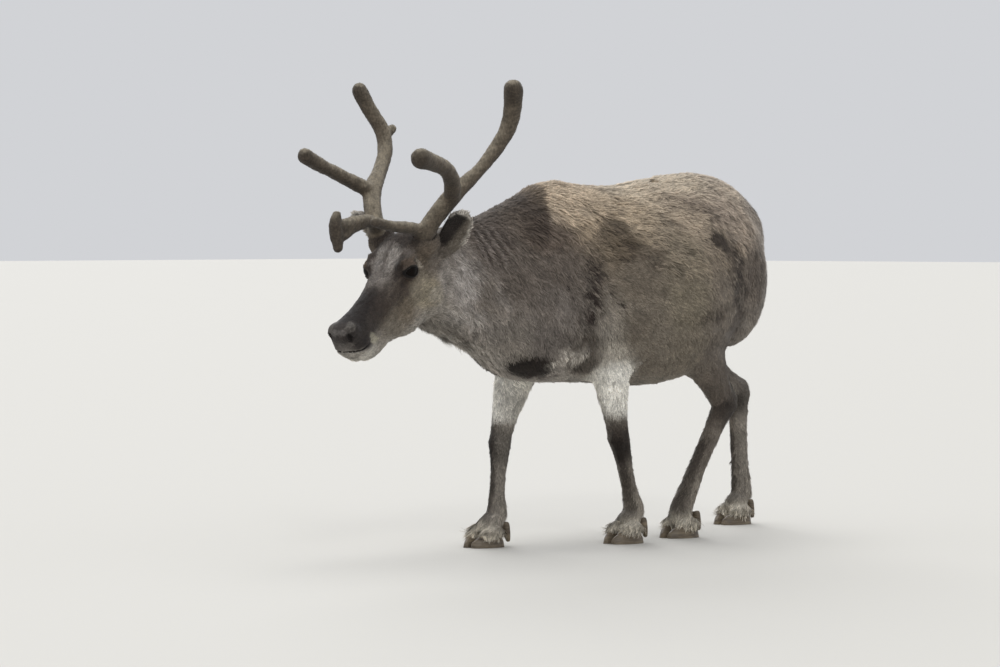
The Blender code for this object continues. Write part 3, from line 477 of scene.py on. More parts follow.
# markings over the ground colour, laid on in this order: place and half size in mm, both as along
# the body, out and up, then degrees of lean, strength and tone, and the kind of edge where it isn't soft

bodyMarks = {
    "saddlePale": ((60, 100, 790), (110, 60, 30), 4, 0.45, "#b3a18a"),
    "saddleDark": ((45, 125, 742), (45, 60, 24), -30, 0.45, "#4a4038", "wide"),
    "saddleFrontDark": ((-10, 118, 722), (30, 60, 12), 14, 0.45, "#453c34"),
    "ribShade": ((100, 150, 690), (110, 60, 32), -8, 0.6, "#463c34"),
    # painted shade: the shadow in the crease behind the upper arm, against the ribs, and its lower end
    "shadeBehindShoulder": ((-52, 145, 600), (32, 70, 115), -8, 0.95, "#2f2622"),
    "bandFoot": ((-62, 140, 480), (30, 50, 40), 0, 0.6, "#40372f"),
    "shoulderStreak": ((-118, 134, 607), (7, 60, 32), 20, 0.85, "#2c2522"),
    "shoulderStreakHigh": ((-150, 125, 640), (6, 60, 36), 10, 0.5, "#3b332e"),
    "plateRear": ((-105, 136, 530), (8, 50, 48), -6, 0.6, "#3f3732"),
    "plateFoot": ((-135, 128, 505), (30, 50, 12), -16, 0.5, "#453c37"),
    "palePlate": ((-142, 133, 560), (26, 60, 50), -6, 0.5, "#938b84"),
    "moult": ((-188, 68, 430), (66, 50, 30), 4, 0.97, "#1f1712", "crisp"),
    "moultFoot": ((-150, 60, 398), (60, 40, 14), 0, 0.7, "#3a302c"),
    "paleAxilla": ((-105, 115, 448), (56, 50, 24), 20, 0.85, "#c9c2b8"),
    # painted shade in a crease of the flank, on smooth skin
    "flankCreaseShade": ((18, 162, 570), (6, 60, 52), 32, 0.8, "#2f2824"),
    "flankPale": ((-12, 155, 560), (14, 55, 70), 14, 0.5, "#91897f"),
    "flankTuft": ((45, 160, 500), (50, 50, 30), 0, 0.35, "#5f574d"),
    "rumpDark": ((350, 130, 785), (80, 55, 16), -16, 0.75, "#463c34"),
    "rumpGrey": ((340, 120, 810), (90, 60, 30), -14, 0.35, "#7d7068"),
    "hipDark": ((378, 165, 722), (36, 55, 20), -24, 0.85, "#352d28", "crisp"),
    "thighBand": ((448, 160, 615), (44, 60, 110), 16, 0.92, "#3d342e"),
    "thighBandTop": ((420, 168, 690), (30, 55, 35), 30, 0.5, "#4b423b"),
    # painted shadow in the fold under the belly, in front of the thigh
    "thighFoldShadow": ((335, 187, 545), (75, 60, 24), 14, 0.6, "#3d342e"),
    "shankDark": ((475, 130, 470), (50, 70, 110), 10, 0.6, "#4a413b"),
    "paleRear": ((610, 115, 640), (50, 50, 125), 0, 0.65, "#b9b3ac"),
    "neckPale": ((-405, 75, 640), (46, 50, 75), 14, 0.55, "#bdb7b2"),
    "neckPaleLow": ((-405, 60, 548), (70, 50, 22), -14, 0.6, "#bcb6b0"),
    "neckShade": ((-372, 70, 655), (12, 50, 50), 20, 0.45, "#6b645d"),
    "neckStreak": ((-300, 90, 590), (12, 50, 70), 30, 0.4, "#aaa39c"),
    "neckStreakDark": ((-275, 95, 560), (10, 50, 70), 30, 0.35, "#665e57"),
    "throatShade": ((-385, 35, 498), (80, 35, 13), -24, 0.65, "#5f584f"),
    "neckSpots": ((-345, 85, 585), (16, 50, 9), 0, 0.5, "#665f58"),
    # painted shade in the skin folds of the neck behind the ear, and painted light on the ridges between
    # them; the skin there is smooth
    "foldShadeOne": ((-332.5, 50, 703), (3.6, 50, 50), 18, 0.68, "#38302b", "crisp"),
    "foldShadeTwo": ((-311, 52, 705), (3.6, 50, 52), 22, 0.68, "#38302b", "crisp"),
    "foldShadeThree": ((-288.5, 53, 712), (3.4, 50, 48), 25, 0.62, "#38302b", "crisp"),
    "foldShadeFour": ((-269, 52, 723), (3.4, 50, 42), 26, 0.52, "#38302b", "crisp"),
    "ridgeLitOne": ((-343, 50, 702), (5, 50, 44), 16, 0.42, "#9a9189", "crisp"),
    "ridgeLitTwo": ((-321.8, 51, 704), (5.8, 50, 48), 20, 0.42, "#9a9189", "crisp"),
    "ridgeLitThree": ((-299.8, 52, 709), (5.8, 50, 46), 24, 0.42, "#968d85", "crisp"),
    "ridgeLitFour": ((-278.8, 53, 718), (5, 50, 42), 26, 0.42, "#8f867e", "crisp"),
}

# the same on the head's own axes
headMarks = {
    "muzzleDark": ((185, 20, 0), (90, 60, 40), -6, 0.8, "#2a2422"),
    "sideDark": ((115, 40, -6), (120, 32, 22), -8, 0.6, "#443b35"),
    # painted highlight on the top of the nose
    "noseHighlight": ((240, 22, 12), (18, 14, 7), -20, 0.45, "#858079"),
    # painted rim light along the front edge of the nose
    "noseRimLight": ((262, 6, 12), (10, 30, 8), 0, 0.35, "#85807c"),
    "tearDark": ((42, 53, -2), (26, 18, 10), -24, 0.85, "#261f1b"),
    "lidTan": ((14, 52, 31), (24, 20, 7), 0, 0.42, "#8a7560"),
    "lidPale": ((-14, 60, 6), (3.5, 22, 18), 0, 0.75, "#b3aa9c"),
    "lidRearDark": ((-7, 60, 12), (5, 22, 16), 0, 0.5, "#4d4239"),
    "foreheadPale": ((34, 20, 50), (48, 19, 24), 0, 0.72, "#b5afa9"),
    "foreheadMiddle": ((50, 0, 52), (60, 8, 20), 0, 0.4, "#6f6761"),
    "foreheadFleck": ((20, 18, 58), (14, 10, 12), 0, 0.75, "#463e3a"),
    "foreheadFleckLow": ((50, 26, 44), (12, 6, 10), 0, 0.6, "#514843"),
    "crownDark": ((-45, 34, 52), (32, 36, 26), 0, 0.8, "#3b332e"),
    "browDark": ((50, 40, 26), (26, 14, 20), 24, 0.8, "#3b322d"),
    "browDarkHigh": ((16, 40, 46), (24, 12, 10), 0, 0.55, "#463c36"),
    "cheekDark": ((70, 52, -20), (40, 26, 22), -10, 0.62, "#453c36"),
    "cheekMottle": ((98, 44, -46), (30, 26, 18), 0, 0.35, "#5d5349"),
    "cheekYellow": ((14, 62, -46), (36, 30, 42), 30, 0.45, "#aba28f"),
    "cheekPale": ((-20, 58, -80), (28, 30, 20), 20, 0.5, "#b8b1a6"),
    "jawPale": ((60, 30, -106), (95, 30, 14), -4, 0.5, "#b3ada4"),
    "mouthCorner": ((192, 42, -52), (11, 22, 24), -30, 0.7, "#bdb7a3"),
    "lipDark": ((236, 32, -30), (30, 26, 12), 0, 0.8, "#2b2523"),
    "lipPale": ((262, 14, -22), (10, 26, 8), 0, 0.35, "#6b6561"),
    "chinWhite": ((226, 10, -78), (36, 36, 18), 0, 0.75, "#cfcac1"),
    "chinShade": ((246, 10, -56), (14, 30, 8), 0, 0.5, "#86817a"),
    "earBase": ((-75, 70, 30), (22, 24, 22), 0, 0.6, "#5d544c"),
    "behindCheek": ((-85, 66, -40), (18, 26, 30), 0, 0.4, "#7b736c"),
}

# where each kind of edge begins, and how wide it is, in half sizes of the mark
markEdges = {"soft": (1.25, 0.8), "wide": (1.25, 1.0), "crisp": (1.3, 0.5), "face": (1.25, 0.6)}


# the tan saddle begins at a sharp line over the withers, given as height and place along the body

saddle = {
    "heights": (0.70, 0.74, 0.77, 0.80, 0.835, 0.87),
    "places": (-0.166, -0.153, -0.143, -0.130, -0.102, -0.075),
    "wander": 0.004,
    "edge": 0.007,
    "dark": "#453b34",
    "tan": "#c3b29c",
    "strength": 0.72,
}


# eyes, mouth and nostrils, measured from the head's middle

face = {
    "eyes": 0.030,                     # m around each eye that is carved
    "gaze": (0.42, 0.90, 0.10),        # ahead, aside, up
    "slit": (0.96, 0.0, 0.26),         # the line between the corners of the eye
    "opening": (0.86, 0.60),           # sines of the half angles that the lids leave open
    "curve": (1.6, 1.9, 1.75),         # powers that shape the lids' outline
    "lidEdge": 0.0204,                 # from the middle of the eye
    "lidRise": 0.0012,
    "underEye": 0.0150,
    "crease": 0.0012,
    "socket": 0.036,
    "mouth": [(0.200, -0.050), (0.212, -0.049), (0.226, -0.048),
              (0.240, -0.047), (0.256, -0.041), (0.268, -0.034)],
    "lips": (0.195, 0.02),             # carved ahead of and below these
    "mouthWide": 0.0042,
    "mouthDeep": 0.0040,
    "nostril": (0.258, 0.027, -0.004),
    "nostrilSize": (0.011, 0.0075, 0.012),
    "nostrilDeep": 0.009,
    "lidBrown": "#4a3d33",
    "lidDark": "#15100d",
    # dark bare skin and painted shade in the slit of the mouth and in the openings of the nostrils
    "mouthSkinAndShade": "#120d0b",
    "nostrilSkinAndShade": "#1d1816",
}


def eyeSpot(side):
    return np.array([headPlan["eyeAhead"], side * headPlan["eyeAside"], headPlan["eyeAbove"]])


def nearEyes(onFace):
    gaps = [np.linalg.norm(onFace - eyeSpot(side), axis=1) for side in (-1, 1)]
    return np.minimum(*gaps) < face["eyes"]


def nearMouth(onFace):
    return (onFace[:, 0] > face["lips"][0]) & (onFace[:, 2] < face["lips"][1])


def slitAxes(side):
    gaze = unit(np.array(face["gaze"]) * np.array([1, side, 1]))
    along = np.array(face["slit"])
    along = unit(along - gaze * (along @ gaze))
    above = np.cross(gaze, along)
    return gaze, along, -above if above[2] < 0 else above


def lidLevel(onFace, side):
    # below 1 between the lids, 1 on their edge and growing outwards, 9 away from the eye
    gaze, along, above = slitAxes(side)
    away = onFace - eyeSpot(side)
    far = np.linalg.norm(away, axis=1)
    way = away / np.maximum(far, 1e-6)[:, None]
    wide, tall = face["opening"]
    flat, round, whole = face["curve"]
    rise = way @ above
    level = ((np.abs(way @ along) / wide) ** flat + (np.abs(rise) / tall) ** round) ** (1 / whole)
    near = (far < face["socket"]) & (way @ gaze > 0.05)
    return np.where(near, level, 9.0), rise, far, way


def mouthGap(onFace):
    # how far a point of the lips is above or below the line of the mouth
    ahead, rise = zip(*face["mouth"])
    gap = np.abs(onFace[:, 2] - np.interp(onFace[:, 0], ahead, rise))
    return np.hypot(gap, np.maximum(ahead[0] - onFace[:, 0], 0) * 1.5)


def nostrilLevel(onFace):
    # 1 on the edge of the nearer nostril
    levels = []
    for side in (-1, 1):
        away = (onFace - np.array(face["nostril"]) * np.array([1, side, 1])) / np.array(face["nostrilSize"])
        away[:, 1] -= side * away[:, 0] * 0.5
        levels.append(np.linalg.norm(away, axis=1))
    return np.minimum(*levels)


def markLevel(points, at, size, lean, side):
    # 1 at the mark's half size
    away = points - np.array([at[0], side * at[1], at[2]]) / 1000
    turn = math.radians(lean)
    along = away[:, 0] * math.cos(turn) + away[:, 2] * math.sin(turn)
    rise = -away[:, 0] * math.sin(turn) + away[:, 2] * math.cos(turn)
    along, aside, rise = (way * 1000 / half for way, half in zip((along, away[:, 1], rise), size))
    return np.sqrt(along ** 2 + aside ** 2 + rise ** 2)


def paintMarks(colour, marks, usual, places, shares):
    # places and shares hold, for each kind of edge, where marks are measured and how much of them takes
    for at, size, lean, mix, shade, *kind in marks.values():
        kind = kind[0] if kind else usual
        start, width = markEdges[kind]
        for side in (-1, 1):
            weight = ease((start - markLevel(places[kind], at, size, lean, side)) / width) * shares[kind]
            blendTone(colour, shade, np.minimum(weight * mix, 1))


def paintSaddle(points, colour):
    height = points[:, 2]
    start = np.interp(height, saddle["heights"], saddle["places"])
    behind = points[:, 0] - start - saddle["wander"] * drift(points, 0.022, 9)
    dark = ease((0.004 - behind) / saddle["edge"]) * ease((behind + 0.085) / 0.05)
    tan = ease(behind / saddle["edge"]) * ease((0.17 - behind) / 0.09)
    dark *= ease((height - 0.690) / 0.06)
    tan *= ease((height - 0.745) / 0.045)
    blendTone(colour, saddle["dark"], dark * saddle["strength"])
    blendTone(colour, saddle["tan"], tan * saddle["strength"])


# a leg's tones and how strongly each lies over the ground colour, with half sizes and heights in m

legLook = {
    "frontDark": ("#37302b", 0.75),    # the leading face of the cannons
    "rearPale": ("#b5aea3", 0.65),     # the trailing edge
    "innerPale": ("#a39c92", 0.35),
    "kneeDark": ("#241e1a", 0.95),
    "toePale": ("#e4dccb", 0.75),
    "armPale": ("#fffcf4", 0.97),
    "top": 0.40,
    "cannonTop": 0.26,
    "kneeDrop": 0.012,                 # the dark patch is this far below the joint
    "knee": (0.042, 0.045, 0.052),
    "foot": (0.075, 0.05, 0.034),
    "reach": 0.05,                     # around the axis of a leg
}


def paintLegs(points, facing, colour):
    def blend(key, weight):
        shade, strength = legLook[key]
        blendTone(colour, shade, weight * strength)

    low = ease((legLook["top"] - points[:, 2]) / 0.06)
    ahead = ease((-facing[:, 0] + 0.1) / 0.8)
    behind = ease((facing[:, 0] - 0.25) / 0.6)
    blend("frontDark", ahead * ease((legLook["cannonTop"] - points[:, 2]) / 0.04) * low)
    blend("rearPale", behind * low)
    for leg, joints in legJoints.items():
        front = leg.startswith("front")
        side = -1 if leg.endswith("left") else 1
        inward = ease((-facing[:, 1] * side + 0.1) / 0.7) * low
        blend("innerPale", inward * ease(1.5 - np.abs(points[:, 1] - joints[-1][1]) / legLook["reach"]))
        if front:
            top, knee = np.array(joints[0]), np.array(joints[1])
            level = (points[:, 2] - knee[2]) / (top[2] - knee[2])
            axis = knee + (top - knee) * level[:, None]
            onArm = ease(1.7 - np.linalg.norm((points - axis)[:, :2], axis=1) / legLook["reach"])
            blend("armPale", onArm * ease((level - 0.20) / 0.16) * ease((0.92 - level) / 0.2))
        knee = np.array(joints[1 if front else 2]) - np.array([0, 0, legLook["kneeDrop"]])
        near = np.linalg.norm((points - knee) / np.array(legLook["knee"]), axis=1)
        blend("kneeDark", ease(1.35 - near) * (0.7 + 0.3 * ahead))
        foot = np.linalg.norm((points - np.array(joints[-1])) / np.array(legLook["foot"]), axis=1)
        blend("toePale", ease(1.4 - foot))


def paintOpenings(points, colour):
    # the bare dark edges of lids, lips and nostrils, with painted shade in the slit of the mouth and in the
    # nostril openings
    onFace = toHead(points)
    for side in (-1, 1):
        level = lidLevel(onFace, side)[0]
        blendTone(colour, face["lidBrown"], ease((2.0 - level) / 0.6) * 0.55)
        blendTone(colour, face["lidDark"], ease((1.26 - level) / 0.14))
    fade = ease((onFace[:, 0] - 0.198) / 0.03)
    blendTone(colour, face["mouthSkinAndShade"], ease((0.0030 - mouthGap(onFace)) / 0.0014) * fade)
    blendTone(colour, face["nostrilSkinAndShade"], ease((1.25 - nostrilLevel(onFace)) / 0.4))


# wandering of the marks and mottling of the coat: width in m, strength and seed

mottling = {
    "warp": (0.055, 0.010, (3, 4, 5)),
    "fine": (0.018, 0.004, (6, 7, 8)),
    "body": [(0.045, 0.10, 21), (0.016, 0.08, 22)],
    "head": [(0.020, 0.14, 23), (0.007, 0.16, 24)],
    "broken": [(0.012, 0.55, 12), (0.035, 0.35, 13)],
    "brokenRange": (0.82, 0.15, 1.15),    # usual, least and most of a soft mark's strength
    "headStart": -0.115,
}


def mottle(points, key):
    return sum(strength * drift(points, grain, seed) for grain, strength, seed in mottling[key])


def paintCoat(points, facing, ground):
    # the same markings for the skin and for every tuft
    colour = ground.copy()
    ways = (mottling["warp"], mottling["fine"])
    warp, fine = (driftWay(points, grain, seeds) * far for grain, far, seeds in ways)
    middle = np.array([0, midLine, 0])
    moved = points + warp + fine - middle
    usual, least, most = mottling["brokenRange"]
    broken = np.clip(usual + mottle(points, "broken"), least, most)
    still = points + fine * 0.35 - middle
    paintMarks(colour, bodyMarks, "soft", {"soft": moved, "wide": moved, "crisp": still},
               {"soft": broken, "wide": broken, "crisp": 1})
    paintSaddle(points, colour)
    onFace = toHead(points + fine * 0.6)
    isHead = ease((onFace[:, 0] - mottling["headStart"]) / 0.03)
    paintMarks(colour, headMarks, "face", {"face": onFace}, {"face": isHead})
    paintOpenings(points, colour)
    paintLegs(points, facing, colour)
    return colour * (1 + mottle(points, "body") + isHead * mottle(points, "head"))[:, None]


# one skin for all the flesh

skin = {
    "voxel": 0.0024,
    "softRounds": 4,
    "triangles": 150000,
    "keep": [(-0.05, 1.0), (-0.13, 0.5)],    # detail kept ahead of these places on the head
    "keepLegs": 0.35,
    "keepBody": 0.05,
    "legsTop": 0.40,
    "eyeCuts": 2,
    "mouthCuts": 1,
    "faceStart": -0.05,
    "unwrapAngle": 66,
    "unwrapGap": 0.002,
    "shade": 0.78,                           # under the hair
}
fleshNodes = ["head", "neck", "torso", "tail", "ear_left", "ear_right"]
fleshNodes += [n for n in nodes if n.endswith(("_forearm", "_shank", "_cannon"))]


def buildSkin():
    body = copyOf(fleshNodes + ["eye_left", "eye_right"], "skin", copying["swell"])
    oneSurface(body, skin["voxel"], skin["softRounds"])
    points = vertexArray(body.data)
    ahead = toHead(points)[:, 0]
    keep = np.where(points[:, 2] < skin["legsTop"], skin["keepLegs"], skin["keepBody"])
    for place, much in reversed(skin["keep"]):
        keep = np.where(ahead > place, much, keep)
    group = body.vertex_groups.new(name="fine")
    for value in np.unique(keep):
        group.add(np.nonzero(keep == value)[0].tolist(), float(value), "REPLACE")
    faces = sum(len(p.vertices) - 2 for p in body.data.polygons)
    fewer = body.modifiers.new("fewer", "DECIMATE")
    fewer.ratio = skin["triangles"] / faces
    fewer.vertex_group = "fine"
    fewer.invert_vertex_group = True
    fewer.use_collapse_triangulate = True
    applyAll(body)
    body.vertex_groups.clear()
    print("skin", len(body.data.polygons), "triangles")
    return body


def sinkSkin(body):
    # the skin lies inside the solids by the depth of the coat that grows on it
    points = vertexArray(body.data)
    normals = vertexNormals(body.data)
    points -= normals * coatAt(points, normals)[1][:, 2:3] * 0.001
    movePoints(body.data, points)


def refine(body, inside, cuts):
    # splits the faces whose corners are all inside the test, to carry the small forms of the face
    marked = inside(toHead(vertexArray(body.data)))
    pick(body)
    bpy.ops.object.mode_set(mode="EDIT")
    bpy.ops.mesh.select_all(action="DESELECT")
    bpy.ops.object.mode_set(mode="OBJECT")
    body.data.vertices.foreach_set("select", marked)
    bpy.ops.object.mode_set(mode="EDIT")
    bpy.ops.mesh.select_mode(type="VERT")
    bpy.ops.mesh.subdivide(number_cuts=cuts, smoothness=0.0, quadcorner="INNERVERT")
    bpy.ops.mesh.quads_convert_to_tris(quad_method="BEAUTY", ngon_method="BEAUTY")
    bpy.ops.object.mode_set(mode="OBJECT")


def carveEyes(onFace):
    # the lids stand on the ball, with two creases outside them that fade into the face
    for side in (-1, 1):
        level, rise, far, way = lidLevel(onFace, side)
        mine = level < 9
        level, rise, far = level[mine], rise[mine], far[mine]
        lid = face["underEye"] + (face["lidEdge"] - face["underEye"]) * ease((level - 0.90) / 0.12)
        fold = np.exp(-((level - 1.50) / 0.13) ** 2) * face["crease"] * np.where(rise > 0, 1.4, 0.8)
        fold += np.exp(-((level - 1.95) / 0.16) ** 2) * face["crease"] * 0.6
        target = lid + face["lidRise"] * ease((level - 1.1) / 0.5) - fold
        loose = ease((level - 1.35) / 0.85)
        reach = target * (1 - loose) + (far - fold) * loose
        onFace[mine] = eyeSpot(side) + way[mine] * reach[:, None]


def carveMouth(onFace, inward):
    dent = face["mouthDeep"] * ease(1 - mouthGap(onFace) / face["mouthWide"])
    dent = np.maximum(dent, face["nostrilDeep"] * ease(1.15 - nostrilLevel(onFace)))
    onFace += inward * dent[:, None]


def carveFace(body):
    refine(body, nearEyes, skin["eyeCuts"])
    refine(body, nearMouth, skin["mouthCuts"])
    onFace = toHead(vertexArray(body.data))
    inward = -(vertexNormals(body.data) @ headAxes.T)
    inHead = onFace[:, 0] > skin["faceStart"]
    carved = onFace[inHead]
    carveMouth(carved, inward[inHead])
    carveEyes(carved)
    onFace[inHead] = carved
    movePoints(body.data, fromHead(onFace))


def unwrap(obj):
    obj.data.uv_layers.new(name="OFBake")
    pick(obj)
    bpy.ops.object.mode_set(mode="EDIT")
    bpy.ops.mesh.select_all(action="SELECT")
    bpy.ops.uv.smart_project(angle_limit=math.radians(skin["unwrapAngle"]), island_margin=skin["unwrapGap"])
    bpy.ops.object.mode_set(mode="OBJECT")


def colourSkin(body):
    points = vertexArray(body.data)
    normals = vertexNormals(body.data)
    storeTone(body.data, paintCoat(points, normals, coatAt(points, normals)[2]) * skin["shade"])


body = buildSkin()
sinkSkin(body)
carveFace(body)
unwrap(body)
colourSkin(body)
bpy.ops.object.shade_smooth()


# tufts: flat tapered blades that lie along the coat, bent back down to it

tuft = {
    "steps": (0.0, 0.38, 0.72),       # where the blade has a pair of corners, before its tip
    "wide": (1.0, 0.95, 0.62),        # of its width at each of them
    "bow": (0.0, 0.62, 0.80, 0.50),   # how high it stands at each of them and the tip
    "sink": 0.0012,                   # root below the skin, m
    "patch": 0.003,                   # of the bake map that a tuft takes up
    "wave": 0.07,                     # side swing, of its length
    "waves": 3.4,                     # radians of swing along it
    "sway": 14.0,                     # degrees that neighbours lean together
    "crimp": 12.0,                    # degrees of the small waves
    "stray": 7.0,                     # degrees that each strays alone
    "long": (0.7, 1.2),               # least and most, of what the coat asks for
    "lift": (0.5, 1.4),
    "width": (0.7, 1.3),
    "rootShade": 0.54,
    "tipShade": 1.30,
    "lockWide": 0.016,                # locks run along the lie, in m across
    "lockDraw": 0.82,                 # how far they are drawn out along it, 1 without end
    "lockShade": (0.16, 0.34),        # how much lighter and darker, in short coat and more in long
    "lockLong": (12, 14),             # mm of hair where the change begins, and how many it takes
    "lockRise": 0.55,
    "speckle": 0.15,                  # from tuft to tuft
    "floor": 0.0008,                  # hair stays above this height
}


def surfaceOf(mesh):
    mesh.calc_loop_triangles()
    size = len(mesh.loop_triangles) * 3
    corners = np.empty(size, int)
    loops = np.empty(size, int)
    mesh.loop_triangles.foreach_get("vertices", corners)
    mesh.loop_triangles.foreach_get("loops", loops)
    uv = np.empty(len(mesh.loops) * 2)
    mesh.uv_layers["OFBake"].data.foreach_get("uv", uv)
    return (corners.reshape(-1, 3), loops.reshape(-1, 3), vertexArray(mesh), vertexNormals(mesh),
            uv.reshape(-1, 2))


def scatter(surface, mask, perArea):
    # random roots on the masked triangles, perArea to the square metre
    corners, loops, points, normals, uv = surface
    a, b, c = (points[corners[:, k]] for k in range(3))
    area = np.linalg.norm(np.cross(b - a, c - a), axis=1) / 2
    share = area * perArea * mask
    count = int(share.sum())
    which = dice.choice(len(corners), size=count, p=share / share.sum())
    r = np.sqrt(dice.random(count))
    s = dice.random(count)
    bary = np.column_stack([1 - r, r * (1 - s), r * s])[:, :, None]
    root = (points[corners[which]] * bary).sum(1)
    facing = unit((normals[corners[which]] * bary).sum(1))
    return root, facing, (uv[loops[which]] * bary).sum(1)


def meshOf(name, verts, faces):
    mesh = bpy.data.meshes.new(name)
    mesh.vertices.add(len(verts))
    mesh.vertices.foreach_set("co", verts.ravel())
    mesh.loops.add(len(faces) * 3)
    mesh.loops.foreach_set("vertex_index", faces.ravel())
    mesh.polygons.add(len(faces))
    mesh.polygons.foreach_set("loop_start", np.arange(len(faces)) * 3)
    mesh.polygons.foreach_set("use_smooth", np.ones(len(faces), bool))
    mesh.update(calc_edges=True)
    return mesh


def grow(name, root, facing, along, reach, rise, wide, place, colour):
    # one mesh of blades from their roots
    count = len(root)
    pairs = len(tuft["steps"])
    across = np.cross(facing, along)
    phase = dice.uniform(0, 6.28, count)
    corners = []
    for k, stop in enumerate(tuft["steps"] + (1.0,)):
        side = np.sin(phase + stop * tuft["waves"]) - np.sin(phase)
        middle = root + along * (reach * stop)[:, None] + across * (reach * tuft["wave"] * side)[:, None]
        middle += facing * (reach * rise * tuft["bow"][k] - tuft["sink"] * (1 - stop))[:, None]
        if k < pairs:
            half = across * (wide * tuft["wide"][k] / 2)[:, None]
            corners += [middle - half, middle + half]
        else:
            corners.append(middle)
    verts = np.stack(corners, axis=1).reshape(-1, 3)
    verts[:, 2] = np.maximum(verts[:, 2], tuft["floor"])
    corner = []
    for k in range(0, 2 * pairs - 2, 2):
        corner += [(k, k + 1, k + 3), (k, k + 3, k + 2)]
    corner.append((2 * pairs - 2, 2 * pairs - 1, 2 * pairs))
    first = np.arange(count) * (2 * pairs + 1)
    faces = (first[:, None, None] + np.array(corner)).reshape(-1, 3)
    mesh = meshOf(name, verts, faces)

    level = np.array([*np.repeat(tuft["steps"], 2), 1.0])
    sideway = np.array([-0.5, 0.5] * pairs + [0.0])
    spots = np.stack([place[:, 0:1] + sideway * tuft["patch"],
                      place[:, 1:2] + (level - 0.5) * tuft["patch"]], -1)
    layer = mesh.uv_layers.new(name="OFBake")
    layer.data.foreach_set("uv", spots.reshape(-1, 2)[faces.ravel()].ravel())
    shade = tuft["rootShade"] + (tuft["tipShade"] - tuft["rootShade"]) * level ** 0.8
    storeTone(mesh, (colour[:, None, :] * shade[None, :, None]).reshape(-1, 3))
    piece = bpy.data.objects.new(name, mesh)
    bpy.context.scene.collection.objects.link(piece)
    print("tufts", name, count, "with", len(faces), "triangles")
    return piece


def plant(name, surface, mask, perArea, width):
    root, facing, place = scatter(surface, mask, perArea)
    lie, sizes, ground = coatAt(root, facing)
    count = len(root)
    straight = unit(lie - facing * (lie * facing).sum(1, keepdims=True))
    swing = np.radians(tuft["sway"] * drift(root, 0.045, 31) + tuft["crimp"] * drift(root, 0.014, 34)
                       + dice.normal(0, tuft["stray"], count))
    across = np.cross(facing, straight)
    along = straight * np.cos(swing)[:, None] + across * np.sin(swing)[:, None]
    reach = sizes[:, 0] * 0.001 * dice.uniform(*tuft["long"], count)
    flow = root - root.mean(0) + driftWay(root, 0.028, (35, 36, 37)) * 0.005
    flow -= straight * (flow * straight).sum(1, keepdims=True) * tuft["lockDraw"]
    lock = 0.65 * drift(flow, tuft["lockWide"], 51) + 0.35 * drift(flow, tuft["lockWide"] * 0.4, 52)
    lift = sizes[:, 1] * dice.uniform(*tuft["lift"], count)
    lift *= 1 + 0.4 * drift(root, 0.03, 33) + tuft["lockRise"] * lock
    wide = width * dice.uniform(*tuft["width"], count)
    colour = paintCoat(root, facing, ground)
    least, most = tuft["lockShade"]
    start, change = tuft["lockLong"]
    depth = least + (most - least) * ease((sizes[:, 0] - start) / change)
    shade = 1 + depth * lock * 1.4 + dice.normal(0, tuft["speckle"], count)
    colour *= np.clip(shade, 0.4, 1.8)[:, None]
    return grow(name, root, facing, along, reach, np.sin(np.radians(lift)), wide, place, colour)


coat = {
    "density": dict(head=260000, neck=125000, trunk=120000, legs=150000),     # tufts to the square metre
    "width": dict(head=0.0014, neck=0.0021, trunk=0.0022, legs=0.0018),
    "headStart": -0.105,       # ahead of this on the head's own axis
    "neckEnd": -0.20,
    "trunkSplit": 0.27,
    "legsTop": 0.385,
    "legsSplit": 0.25,
    "lids": 1.22,              # bare inside these levels and this gap
    "nostrils": 1.05,
    "lips": 0.0018,
}
surface = surfaceOf(body.data)
centres = surface[2][surface[0]].mean(1)
faceSpots = toHead(centres)
inHead = faceSpots[:, 0] > coat["headStart"]
lidGap = np.minimum(lidLevel(faceSpots, -1)[0], lidLevel(faceSpots, 1)[0])
furred = (nostrilLevel(faceSpots) > coat["nostrils"]) & (mouthGap(faceSpots) > coat["lips"])
furred &= lidGap > coat["lids"]
inLegs = (centres[:, 2] < coat["legsTop"]) & ~inHead
inNeck = (centres[:, 0] < coat["neckEnd"]) & ~inHead & ~inLegs
inTrunk = ~inHead & ~inLegs & ~inNeck
rightOfHead = faceSpots[:, 1] >= 0
rightSide = centres[:, 1] >= midLine
rear = centres[:, 0] >= coat["trunkSplit"]
hind = centres[:, 0] >= coat["legsSplit"]
zones = {
    "coat_head_left": (inHead & furred & ~rightOfHead, "head"),
    "coat_head_right": (inHead & furred & rightOfHead, "head"),
    "coat_neck": (inNeck, "neck"),
    "coat_left_front": (inTrunk & ~rightSide & ~rear, "trunk"),
    "coat_left_rear": (inTrunk & ~rightSide & rear, "trunk"),
    "coat_right_front": (inTrunk & rightSide & ~rear, "trunk"),
    "coat_right_rear": (inTrunk & rightSide & rear, "trunk"),
    "coat_legs_front": (inLegs & ~hind, "legs"),
    "coat_legs_rear": (inLegs & hind, "legs"),
}
coatPieces = []
for name, (mask, kind) in zones.items():
    coatPieces.append(plant(name, surface, mask, coat["density"][kind], coat["width"][kind]))


# finishes

def newMaterial(name, **values):
    mat = bpy.data.materials.new(name)
    mat.use_nodes = True
    shader = mat.node_tree.nodes["Principled BSDF"]
    for socket, value in values.items():
        shader.inputs[socket.replace("_", " ")].default_value = value
    return mat, mat.node_tree, shader


def noiseNode(tree, scale, detail=4, rough=0.6, stretch=(1, 1, 1)):
    where = tree.nodes.new("ShaderNodeTexCoord")
    mapping = tree.nodes.new("ShaderNodeMapping")
    mapping.inputs["Scale"].default_value = stretch
    noise = tree.nodes.new("ShaderNodeTexNoise")
    noise.inputs["Scale"].default_value = scale
    noise.inputs["Detail"].default_value = detail
    noise.inputs["Roughness"].default_value = rough
    tree.links.new(where.outputs["Object"], mapping.inputs["Vector"])
    tree.links.new(mapping.outputs["Vector"], noise.inputs["Vector"])
    return noise


